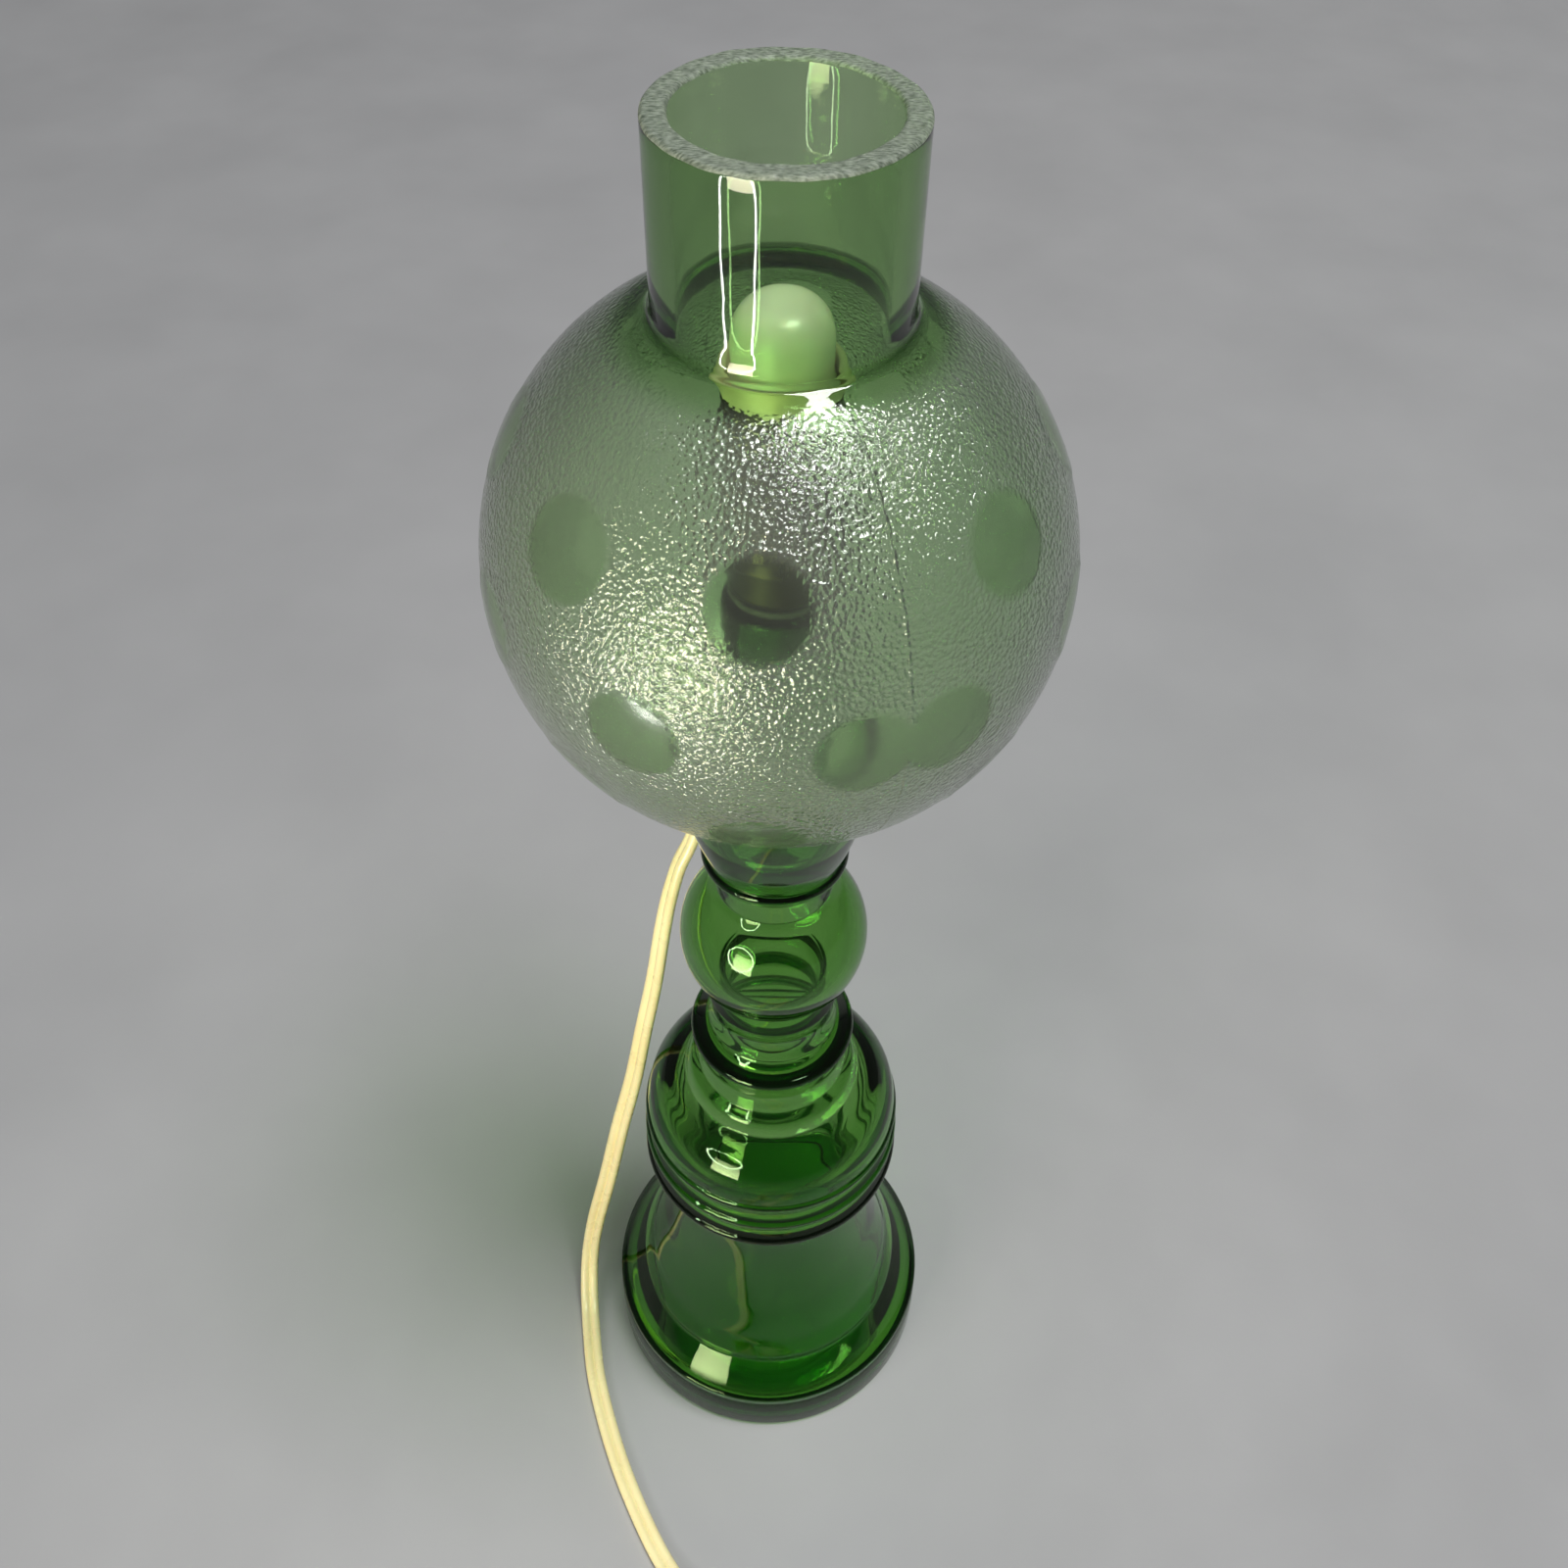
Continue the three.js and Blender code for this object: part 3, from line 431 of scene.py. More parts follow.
def shade_glass_material():
    """The shade: paler glass, pebbled where the attribute "pebble" says so."""
    s = Shader("textured_green_glass")
    mask = s.add("ShaderNodeAttribute", attribute_name="pebble").outputs["Fac"]
    pebbles = s.math("ADD", s.cells(1150.0), s.math("MULTIPLY", s.noise(2400.0, 2.0), 0.3))
    pebbled = s.bump(s.math("MULTIPLY", pebbles, mask), 1.0, 0.00039)
    seamed = s.bump(s.math("MULTIPLY", seam_height(s), mask), 0.6, 0.0003, pebbled)
    wavy = s.bump(s.noise(70.0, 1.5), 0.12, 0.001, seamed)
    frosted = s.add("ShaderNodeAttribute", attribute_name="frosted").outputs["Fac"]
    haze = s.math("ADD", s.math("MULTIPLY", mask, 0.06), s.math("MULTIPLY", frosted, 0.025))
    rough = s.math("ADD", s.math("MULTIPLY", mask, 0.07), s.math("MULTIPLY", frosted, 0.05))
    shader = s.principled(
        Base_Color=s.colours(s.noise(36.0, 3.0), (0.86, 0.94, 0.83), (0.93, 0.99, 0.90)),
        Roughness=s.math("ADD", s.range(s.noise(300.0, 2.0), 0.015, 0.04), rough),
        IOR=GLASS_IOR, Transmission_Weight=s.math("SUBTRACT", 1.0, haze), Normal=wavy,
        Coat_Weight=mask, Coat_IOR=1.6, Coat_Roughness=0.09, Coat_Normal=wavy)
    surface = through_glass(s, shader.outputs[0], (0.82, 0.92, 0.79))
    return s.end(surface, s.absorption((0.42, 0.66, 0.23, 1), 208.0))


def ground_rim_material():
    """The chimney's sawn rim: dull grey ground glass with brushed chips."""
    s = Shader("ground_rim")
    scratches = s.noise(900.0, 5.0, s.stretched((1.0, 3.2, 1.0)))
    chips = s.cells(520.0, smoothness=0.2)
    shader = s.principled(
        Base_Color=s.colours(scratches, (0.10, 0.13, 0.09), (0.36, 0.41, 0.33), 0.35, 0.68),
        Roughness=s.range(chips, 0.42, 0.8), IOR=GLASS_IOR, Transmission_Weight=0.2,
        Normal=s.bump(s.math("ADD", scratches, chips), 0.8, 0.0003))
    return s.end(shader.outputs[0])


def bulb_glass_material():
    s = Shader("frosted_glass")
    shader = s.principled(
        Base_Color=s.colours(s.noise(160.0, 3.0), (0.80, 0.77, 0.71), (0.88, 0.86, 0.80)),
        Roughness=s.range(s.noise(700.0, 2.0), 0.28, 0.42), IOR=GLASS_IOR, Transmission_Weight=0.45,
        Coat_Weight=0.35, Coat_Roughness=0.12, Subsurface_Weight=0.15,
        Subsurface_Scale=0.002, Normal=s.bump(s.noise(1500.0, 2.0), 0.2, 0.0001))
    return s.end(through_glass(s, shader.outputs[0], (0.9, 0.92, 0.88)))


def clear_glass_material():
    s = Shader("clear_glass")
    shader = s.principled(
        Base_Color=s.colours(s.noise(220.0, 2.0), (0.92, 0.96, 0.95), (0.98, 1.0, 0.99)),
        Roughness=s.range(s.noise(500.0, 2.0), 0.01, 0.06), IOR=GLASS_IOR, Transmission_Weight=1.0,
        Normal=s.bump(s.noise(300.0, 1.0), 0.1, 0.0003))
    return s.end(through_glass(s, shader.outputs[0], (0.95, 0.97, 0.96)))


def vinyl_material():
    s = Shader("cream_vinyl")
    along = s.noise(38.0, 4.0)
    shader = s.principled(
        Base_Color=s.colours(along, (0.84, 0.72, 0.37), (0.90, 0.80, 0.46)),
        Roughness=s.range(s.noise(120.0, 3.0), 0.22, 0.38), Coat_Weight=0.25,
        Coat_Roughness=0.2, Subsurface_Weight=0.12, Subsurface_Scale=0.0015,
        Normal=s.bump(s.noise(1400.0, 2.0), 0.15, 0.0001))
    return s.end(shader.outputs[0])


GREEN_GLASS = green_glass_material()
SHADE_GLASS = shade_glass_material()
GROUND_RIM = ground_rim_material()
BULB_GLASS = bulb_glass_material()
CLEAR_GLASS = clear_glass_material()
VINYL = vinyl_material()
ANTIQUE_BRASS = plain_material(
    "antique_brass", (0.020, 0.017, 0.012), (0.085, 0.068, 0.038), 70.0, (0.26, 0.46), 900.0,
    0.0001, 1.0, stretch=(1.0, 1.0, 0.3))
BRASS = plain_material(
    "polished_brass", (0.50, 0.36, 0.13), (0.78, 0.60, 0.27), 120.0, (0.16, 0.34), 1400.0, 0.00008,
    1.0)
DULL_BRASS = plain_material(
    "dull_brass", (0.55, 0.47, 0.33), (0.67, 0.60, 0.44), 120.0, (0.38, 0.55), 1400.0, 0.00008,
    0.4)
STEEL = plain_material(
    "nickel_steel", (0.42, 0.42, 0.41), (0.64, 0.63, 0.61), 150.0, (0.20, 0.38), 1600.0, 0.00008,
    1.0)
TUNGSTEN = plain_material(
    "tungsten_wire", (0.16, 0.15, 0.15), (0.30, 0.29, 0.28), 400.0, (0.3, 0.5), 4000.0, 0.00004,
    0.9)
RUBBER = plain_material(
    "black_rubber", (0.014, 0.014, 0.014), (0.035, 0.034, 0.033), 200.0, (0.6, 0.85), 1500.0,
    0.0002)
PHENOLIC = plain_material(
    "phenolic", (0.020, 0.013, 0.010), (0.055, 0.035, 0.026), 260.0, (0.3, 0.5), 1500.0, 0.0001,
    coat=0.2)
FIBRE = plain_material(
    "fibre_board", (0.22, 0.16, 0.09), (0.40, 0.31, 0.19), 320.0, (0.75, 0.95), 2200.0, 0.0002,
    stretch=(1.0, 1.0, 0.25))
PLASTIC = plain_material(
    "cream_plastic", (0.72, 0.64, 0.43), (0.83, 0.76, 0.56), 60.0, (0.28, 0.42), 1300.0, 0.00008,
    coat=0.15)
TIE_BLACK = plain_material(
    "black_twist_tie", (0.012, 0.012, 0.013), (0.04, 0.04, 0.042), 500.0, (0.35, 0.6), 2600.0,
    0.0002)

# ---- cord
CORD_W = 0.0061
CORD_T = 0.0031
CORD_SIDE = np.array([-0.35, 0.937])
COIL_CENTRE = np.array([0.0185, -0.2154])
COIL_TURN_R = 0.041
COIL_PITCH = 0.0034
COIL_LOW_Z = 0.00315
COIL_HIGH_Z = 0.00945
INWARD_TURNS = 2.6
CLIMB_TURNS = 0.4
OUTWARD_TURNS = 2.61
TIE_ANGLE = -math.pi / 3
COIL_START = math.atan2(0.64, 0.77)
CORD_STEP = 0.0015
OUTLET_Z = 0.3336                    # where the cord leaves the socket's cap
RIM_CORD_Z = 0.276                   # the cord's middle as it crosses the cup's rim
NOTCH_DEPTH = 0.0221
NOTCH_W = 0.0073
NOTCH_CLEARANCE = 0.0006

CORD_TWIST = [(0, 0), (0.064, 17), (0.119, 40), (0.184, 62), (0.220, 95), (0.262, 159.5)]
CORD_TO_COIL = [
    (-0.0086, 0.0230, 0.2760), (-0.0096, 0.0258, 0.2759), (-0.0106, 0.0283, 0.2750),
    (-0.0118, 0.0316, 0.2729), (-0.0128, 0.0341, 0.2693), (-0.0133, 0.0354, 0.2648),
    (-0.0137, 0.0355, 0.2580), (-0.0145, 0.0342, 0.2480), (-0.0162, 0.0316, 0.2360),
    (-0.0188, 0.0286, 0.2245), (-0.0225, 0.0255, 0.2133), (-0.0253, 0.0237, 0.2072),
    (-0.0272, 0.0219, 0.2010), (-0.0288, 0.0202, 0.1945), (-0.0307, 0.0179, 0.1842),
    (-0.0337, 0.0149, 0.1648), (-0.0377, 0.0123, 0.1433), (-0.0420, 0.0102, 0.1191),
    (-0.0477, 0.0082, 0.0926), (-0.0534, 0.0062, 0.0636), (-0.0594, 0.0036, 0.0360),
    (-0.0618, 0.0015, 0.0220), (-0.0627, -0.0009, 0.0146), (-0.0630, -0.0042, 0.0090),
    (-0.0629, -0.0084, 0.0052), (-0.0624, -0.0130, 0.0029), (-0.0615, -0.0195, 0.0019),
    (-0.0586, -0.0350, 0.0016), (-0.0534, -0.0513, 0.0016), (-0.0470, -0.0669, 0.0016),
    (-0.0394, -0.0818, 0.0016), (-0.0324, -0.0934, 0.0018), (-0.0266, -0.1010, 0.0029),
    (-0.0186, -0.1090, 0.0050), (-0.0098, -0.1176, 0.0064), (0.0090, -0.1400, 0.0064),
    (0.0278, -0.1626, 0.0064), (0.0326, -0.1684, 0.0060), (0.0380, -0.1748, 0.0050),
    (0.0436, -0.1815, 0.0038),
]
CORD_TO_PLUG = [
    (-0.0227, -0.2060, 0.0093), (-0.0231, -0.2000, 0.0089), (-0.0237, -0.1946, 0.0083),
    (-0.0245, -0.1896, 0.0074), (-0.0256, -0.1840, 0.0067), (-0.0267, -0.1785, 0.0065),
]
INNER_ROUTE = [
    (0.0080, 0.3336), (0.0102, 0.3336), (0.0123, 0.3335), (0.0140, 0.3321), (0.0145, 0.3296),
    (0.0142, 0.3250), (0.0139, 0.3180), (0.0139, 0.3000), (0.0139, 0.2860), (0.0139, 0.2798),
    (0.0149, 0.2772), (0.0174, 0.2761), (0.0206, 0.2760), (0.0242, 0.2760),
]


def coil_line(steps_per_turn=72):
    """Two layers of turns on edge: inwards below, a climb, and outwards above."""
    turns = INWARD_TURNS + CLIMB_TURNS + OUTWARD_TURNS
    inner = COIL_TURN_R - COIL_PITCH * INWARD_TURNS
    points = []
    for i in range(int(steps_per_turn * turns) + 1):
        turned_by = i / steps_per_turn
        angle = COIL_START - 2 * math.pi * turned_by
        climb = smoothstep(turned_by, INWARD_TURNS, INWARD_TURNS + CLIMB_TURNS)
        inward = np.clip(turned_by / INWARD_TURNS, 0, 1)
        outward = np.clip((turned_by - INWARD_TURNS - CLIMB_TURNS) / OUTWARD_TURNS, 0, 1)
        r = COIL_TURN_R + (inner - COIL_TURN_R) * (inward - outward)
        off_tie = abs((angle - TIE_ANGLE + math.pi) % (2 * math.pi) - math.pi)
        over_tie = 0.0007 * (1 - smoothstep(off_tie, 0.12, 0.45))
        z = COIL_LOW_Z + (COIL_HIGH_Z - COIL_LOW_Z) * climb + over_tie
        points.append((COIL_CENTRE[0] + r * math.cos(angle), COIL_CENTRE[1] + r * math.sin(angle),
                       float(z)))
    return points


def unit(rows):
    return rows / np.linalg.norm(rows, axis=1)[:, None]


def cord_faces(points):
    """Which way the cord's flat side looks at each point, and along which way it is wide."""
    tangents = unit(np.gradient(points, axis=0))
    z = points[:, 2]
    twist = np.radians(np.interp(z, *zip(*CORD_TWIST)))
    hanging = smoothstep(z, 0.010, 0.060)
    face = np.column_stack([-np.sin(twist), -np.cos(twist), np.zeros(len(z))]) * hanging[:, None]
    to_coil = points[:, :2] - COIL_CENTRE
    distance = np.linalg.norm(to_coil, axis=1)
    in_coil = 1 - smoothstep(distance, COIL_TURN_R + 0.0006, COIL_TURN_R + 0.011)
    face[:, 2] += 1 - in_coil
    face[:, :2] += (to_coil / distance[:, None]) * in_coil[:, None]
    face -= tangents * (face * tangents).sum(1)[:, None]
    face = unit(face)
    return face, np.cross(tangents, face)


def twin_section(steps=10):
    """Outline of a flat two-wire cord: two round halves and a web with a groove each side."""
    r = CORD_T / 2
    c = CORD_W / 2 - r
    half = []
    for i in range(steps + 1):
        a = math.radians(-150 + 300 * i / steps)
        half.append((c + r * math.cos(a), r * math.sin(a)))
    half.append((0.0, r * 0.42))
    return half + [(-x, -y) for x, y in half]


def twin_cord(name, points, *nodes):
    face, side = cord_faces(points)
    section = twin_section()
    rings = [[tuple(p + b * x + n * y) for x, y in section] for p, n, b in zip(points, face, side)]
    obj = lofted(name, rings, sharp=70)
    return finish_piece(obj, VINYL, *nodes)


cord_line = evenly(spline([*CORD_TO_COIL, *coil_line(), *CORD_TO_PLUG], 0.001), CORD_STEP)
cord = twin_cord("cord", cord_line, "cord_run", "cord_coil", "cord_tail")
inner_points = [(CORD_SIDE[0] * r, CORD_SIDE[1] * r, z) for r, z in INNER_ROUTE]
inner_line = evenly(spline(inner_points, 0.0005), 0.0008)
twin_cord("cord_inside_lamp", inner_line, "cord_inside")


# ---- glass base
def seat_z(r):
    return GLOBE_Z - math.sqrt(SEAT_R ** 2 - r * r)


def base_profile():
    outside = [
        (0, 2), (39, 2), (41, 0), (49.8, 0),
        (FOOT_R, 2), (FOOT_R - 0.3, 16), (50.7, 17.8), (51.2, 20.6), (49.4, 22),
        *smooth([(48, 23.4), (45, 27.4), (41.9, 31.4)]),
        (42.2, 35), (40.4, 38),
        *smooth([(39, 41.5), (34.6, 57), (31.4, 73), (29.7, 88), (29.8, 96), (31.8, 101)]),
        *arc(36, 108.3, 1.8, -60, 60, 0.5), (35.7, 113.2),
        *arc(35.7, 118, 1.8, -60, 60, 0.5), (35.4, 122.8),
        *arc(35.2, 127.3, 1.8, -60, 60, 0.5),
        *smooth([(36.1, 131.5), (34.8, 136.4), (31, 142.3), (24.6, 147)]),
        (23.9, 149.2), (23.1, 151),
        *smooth([(20.6, 153.4), (19.5, 158.6), (19.9, 164.6)]),
        *arc(20.4, 168.4, 1.9, -75, 75, 0.5),
        *smooth([(17.4, 173.8), (16.1, 177.6), (16.1, 183.4), (17.5, 187)]),
        *arc(0, BALL_Z, BALL_R, -49, 47),
        *smooth([(14.4, 231.4), (14.2, 237.6)]),
        *arc(15.9, 243.2, 1.9, -90, 60, 0.5),
        *smooth([(17.4, 246.4), (20.4, 257.5), (23.2, 271), (CUP_RIM_R, seat_z(CUP_RIM_R) - 1)]),
        (CUP_RIM_R - 0.8, seat_z(CUP_RIM_R - 0.8)), (CUP_RIM_R - 2.2, seat_z(CUP_RIM_R - 2.2)),
    ]
    inside = [
        *smooth([(CUP_RIM_R - 3, 276.5), (20.2, 270), (17.6, 258), (15.2, 251.4)]),
        (13.8, 249.6), (NECK_R, 252),
        (NECK_R, NECK_TOP_Z - 1.4), (NECK_R - 1, NECK_TOP_Z), (NECK_BORE_R + 0.8, NECK_TOP_Z),
        (NECK_BORE_R, NECK_TOP_Z - 1),
        *smooth([(NECK_BORE_R, 252), (11, 243), (11.3, 234.5)]),
        *arc(0, BALL_Z, BALL_R - 3, 57, -49),
        *smooth([(13, 182), (13.4, 175), (16.6, 169.5), (16.6, 158), (20, 150.2), (27.5, 142.6),
                 (31.6, 135.6), (32.8, 128)]),
        *smooth([(32.9, 108), (29, 103), (26.6, 96), (26.6, 88), (31.6, 57), (36.4, 40.4)]),
        (38.8, 35), (47.4, 16), (47.6, 8), (45.6, 6), (0, 6.4),
    ]
    return rounded([*outside, *inside], 0.9)


def place_on_side(z):
    """A frame at height z whose own z points out to the side where the cord leaves."""
    side = Vector((*CORD_SIDE, 0)).normalized()
    return Matrix(((-side.y, 0, side.x, 0), (side.x, 0, side.y, 0), (0, 1, 0, z), (0, 0, 0, 1)))


def notch_cutter():
    """What the cord's shallow notch takes out of the cup's rim."""
    outline = [(y, x) for x, y in stadium(NOTCH_DEPTH, NOTCH_W)]
    middle = RIM_CORD_Z - CORD_T / 2 - NOTCH_CLEARANCE + NOTCH_DEPTH / 2
    return prism("notch", outline, 0.015, 0.031, place_on_side(middle))


base = turned("glass_lamp_base", base_profile(), 160, sharp=60)
cut_away(base, notch_cutter(), sharp=60)
finish_piece(base, GREEN_GLASS, "glass_base")


# ---- glass shade
DOT_R = 9.2
DOT_RAISE = 0.16
DOT_LIP_RAISE = 0.12
DOT_LIP_W = 0.9
SATIN_DOTS = 1.2                     # how much hazier the dots are than the glass around
# (latitude, azimuths to either side of the mould seam), in degrees
DOT_ROWS = [(30.0, (27, 69, 111, 153)), (2.2, (8, 49, 90, 131, 172)), (-26.0, (27, 69, 111, 153))]


def dot_directions():
    out = []
    for latitude, offsets in DOT_ROWS:
        for offset in offsets:
            for side in (-1, 1):
                azimuth = SEAM_AZIMUTH + side * math.radians(offset)
                up = math.radians(latitude)
                out.append((math.sin(azimuth) * math.cos(up), -math.cos(azimuth) * math.cos(up),
                            math.sin(up)))
    return np.array(out)


DOT_DIRECTIONS = dot_directions()
CLEAR_DOT = DOT_DIRECTIONS[0]            # the front one, which the socket is seen through


def shade_profile():
    inner_r = GLOBE_R - GLOBE_WALL
    outer_join = math.degrees(math.acos((CHIMNEY_R + 1.6) / GLOBE_R))
    inner_join = math.degrees(math.acos((CHIMNEY_BORE_R + 1.2) / inner_r))
    mouth_out = math.degrees(math.acos((SHADE_MOUTH_R + 1.4) / GLOBE_R))
    mouth_in = math.degrees(math.acos((SHADE_MOUTH_R + 0.6) / inner_r))
    outer_join_z = GLOBE_Z + GLOBE_R * math.sin(math.radians(outer_join))
    inner_join_z = GLOBE_Z + inner_r * math.sin(math.radians(inner_join))
    lip_z = GLOBE_Z - math.sqrt(GLOBE_R ** 2 - (SHADE_MOUTH_R + 1.4) ** 2)
    ring = [
        (CHIMNEY_BORE_R + 0.5, TOP_Z), (CHIMNEY_R - 0.6, TOP_Z), (CHIMNEY_R, TOP_Z - 0.6),
        (CHIMNEY_R, outer_join_z + 3), (CHIMNEY_R + 0.4, outer_join_z + 1.2),
        *arc(0, GLOBE_Z, GLOBE_R, outer_join, -mouth_out, 1.1),
        (SHADE_MOUTH_R + 0.3, lip_z + 0.5), (SHADE_MOUTH_R, lip_z + 1.6),
        *arc(0, GLOBE_Z, inner_r, -mouth_in, inner_join, 2.5),
        (CHIMNEY_BORE_R + 0.3, inner_join_z + 1.4), (CHIMNEY_BORE_R, inner_join_z + 3),
        (CHIMNEY_BORE_R, TOP_Z - 0.6),
    ]
    return finely(rounded(ring, 0.8, closed=True), 3.0, closed=True)


def shape_shade(obj):
    """Raises the smooth coin dots, wears the rim, and says where the glass is pebbled."""
    mesh = obj.data
    points = np.array([v.co for v in mesh.vertices], float) * 1000
    from_centre = points - (0, 0, GLOBE_Z)
    distance = np.linalg.norm(from_centre, axis=1)
    direction = from_centre / distance[:, None]
    outside = (distance > GLOBE_R - 0.4) & (np.hypot(points[:, 0], points[:, 1]) > CHIMNEY_R + 0.9)
    outside &= points[:, 2] < GLOBE_Z + 53.5
    apart = np.arccos(np.clip(direction @ DOT_DIRECTIONS.T, -1, 1)).min(1) * GLOBE_R
    in_dot = 1 - smoothstep(apart, DOT_R - 0.7, DOT_R + 0.5)
    lip = np.exp(-((apart - DOT_R) / DOT_LIP_W) ** 2)
    raised = (DOT_RAISE * in_dot + DOT_LIP_RAISE * lip) * outside
    near_top = smoothstep(points[:, 2], GLOBE_Z + 47.5, GLOBE_Z + 51.5)
    near_mouth = 1 - smoothstep(points[:, 2], GLOBE_Z - 53.5, GLOBE_Z - 52)
    pebble = outside * (1 - in_dot) * (1 - near_top) * (1 - near_mouth)
    points += direction * raised[:, None]
    on_rim = smoothstep(points[:, 2], TOP_Z - 3.5, TOP_Z - 0.4)
    angle = np.arctan2(points[:, 1], points[:, 0])
    wear = 0.07 * np.sin(7 * angle) + 0.05 * np.sin(19 * angle + 1.0) - 0.12
    points[:, 2] += on_rim * wear
    mesh.vertices.foreach_set("co", (points / 1000).ravel())
    clear = np.exp(-(np.arccos(np.clip(direction @ CLEAR_DOT, -1, 1)) * GLOBE_R / DOT_R) ** 4)
    satin = outside * (1 - near_top) * (1 + SATIN_DOTS * in_dot * (1 - clear))
    for name, values in (("pebble", pebble), ("frosted", satin)):
        attribute = mesh.attributes.new(name, "FLOAT", "POINT")
        attribute.data.foreach_set("value", values.astype(np.float32))
    mesh.update()


shade = turned("glass_globe_shade", shade_profile(), 320, closed=True, sharp=60)
shape_shade(shade)
finish_piece(shade, SHADE_GLASS, "glass_shade", body="shade")
shade.data.materials.append(GROUND_RIM)
for face in shade.data.polygons:
    if face.center.z > (TOP_Z - 0.95) * MM and face.normal.z > 0.25:
        face.material_index = 1


# ---- socket and adapter
def thread(radius, depth, low, high, pitch, step=0.25):
    """A wavy stretch of profile, as on a rolled thread."""
    n = int((high - low) / step)
    return [(radius - depth / 2 + depth / 2 * math.cos(2 * math.pi * (high - low) * i / n / pitch),
             low + (high - low) * i / n) for i in range(n + 1)]


HOLE_R = 5.15
r = SOCKET_R
cap = turned("socket_cap_turned", rounded([
    (HOLE_R, SOCKET_Z), (r - 1.6, SOCKET_Z), (r - 0.5, SOCKET_Z + 0.5), (r, SOCKET_Z + 1.6),
    (r, SOCKET_Z + 8.2), (r + 0.22, SOCKET_Z + 8.6), (r, SOCKET_Z + 9.0),
    (r, CAP_TOP_Z - 1.6), (r + 0.4, CAP_TOP_Z - 0.8), (r, CAP_TOP_Z), (r - 0.6, CAP_TOP_Z),
    (r - 0.6, SOCKET_Z + 1.9), (r - 1.4, SOCKET_Z + 0.9), (HOLE_R, SOCKET_Z + 0.9)],
    0.3, closed=True), 96, closed=True)
cut_away(cap, prism("outlet", stadium(0.0097, 0.0061), 0.006, 0.014, place_on_side(OUTLET_Z)))
finish_piece(cap, ANTIQUE_BRASS, "socket_cap")

turned_piece("socket_shell_turned", [
    (r - 1.6, CAP_TOP_Z - 3.5), (r - 0.9, CAP_TOP_Z - 3.5), (r - 0.9, CAP_TOP_Z + 0.3),
    (r, CAP_TOP_Z + 0.3), (r, CAP_TOP_Z + 2.4), (r + 0.35, CAP_TOP_Z + 3.2), (r, CAP_TOP_Z + 4),
    (r, COLLAR_Z - 4.4), (r + 0.25, COLLAR_Z - 3.9), (r, COLLAR_Z - 3.4), (r, COLLAR_Z - 0.3),
    (r - 0.8, COLLAR_Z - 0.3), (r - 0.8, CAP_TOP_Z + 1.2), (r - 1.6, CAP_TOP_Z + 1.2)],
    0.3, 96, ANTIQUE_BRASS, "socket_shell")
turned_piece("socket_collar_rolled", [
    (r - 1.1, COLLAR_Z), (r, COLLAR_Z), (r, SOCKET_TOP_Z - 1.8),
    *arc(r - 0.2, SOCKET_TOP_Z - 0.8, 0.8, -60, 180, 0.2), (r - 1.1, SOCKET_TOP_Z - 1.4)],
    0.2, 96, DULL_BRASS, "socket_rim_collar", slot="polished_brass")

adapter_ribs = [(radius, 307 + 5.4 * i + up) for i in range(3)
                for radius, up in ((7.9, 0), (8.6, 1.6), (7.9, 3.2))]
turned_piece("bottle_adapter_ribbed", [
    (HOLE_R, 304), (7.2, 304), *adapter_ribs, (7.9, NECK_TOP_Z + 0.3), (r - 0.4, NECK_TOP_Z + 0.3),
    (r - 0.4, SOCKET_Z - 0.3), (HOLE_R, SOCKET_Z - 0.3)], 0.4, 64, RUBBER, "bottle_adapter")
turned_piece("nipple_threaded", [
    (3.6, 299), (4.45, 299), *thread(4.85, 0.35, 299.6, 332.6, 0.94, 0.12), (4.45, 333.2),
    (3.6, 333.2)], 0.1, 48, BRASS, "threaded_nipple")
turned_piece("liner_tube", [(9.45, 344.6), (9.8, 344.6), (9.8, 369), (9.45, 369)], 0.1, 64,
             FIBRE, "insulating_liner")

outer = thread(7.1, 0.45, 346, 361, 2.5)
inner = [(radius - 0.42, z) for radius, z in reversed(outer)]
contact = turned("screw_shell_rolled", [(2.8, 343.9), (6.4, 343.9), *outer, *inner, (6.1, 344.4),
                                        (2.8, 344.4)], 64, closed=True)
finish_piece(contact, BRASS, "screw_shell_contact")

turned_piece("centre_contact_domed", [
    (0, 343.9), (2.2, 343.9), (2.2, 344.4), (1.4, 345.4), (1.2, 346), (0, 346)], 0.3, 32,
    BRASS, "centre_contact", closed=False)
turned_piece("washer_flat", [(HOLE_R, 327.9), (8, 327.9), (8, 328.7), (HOLE_R, 328.7)], 0.2, 48,
             STEEL, "lock_washer")


# ---- bulb
def bulb_dome(radius, height, start, end, steps=24):
    """A dome flatter on top than a half ball, with full shoulders."""
    base = BULB_TOP_Z - DOME_H
    angles = [math.radians(start + (end - start) * k / steps) for k in range(steps + 1)]
    return [(radius * max(math.cos(a), 0) ** DOME_POWER,
             base + height * max(math.sin(a), 0) ** DOME_POWER)
            for a in angles]


def bulb_profile():
    """The bulb's envelope: outer skin to the tip, then back down the inner skin."""
    inner_r, inner_h = BULB_R - BULB_WALL, DOME_H - BULB_WALL
    return [
        (2.9, 358.3), (4.7, 358.3), (4.8, 365.4),
        *smooth([(5.6, 367.2), (7.9, 370.2), (BULB_R, 374.4)], 0.5),
        *bulb_dome(BULB_R, DOME_H, 0, 90), *bulb_dome(inner_r, inner_h, 90, 0),
        *smooth([(inner_r, 374.6), (7.2, 370.8), (4.9, 367.6)], 0.5),
        (4.1, 365.6), (4, 359), (2.9, 359),
    ]


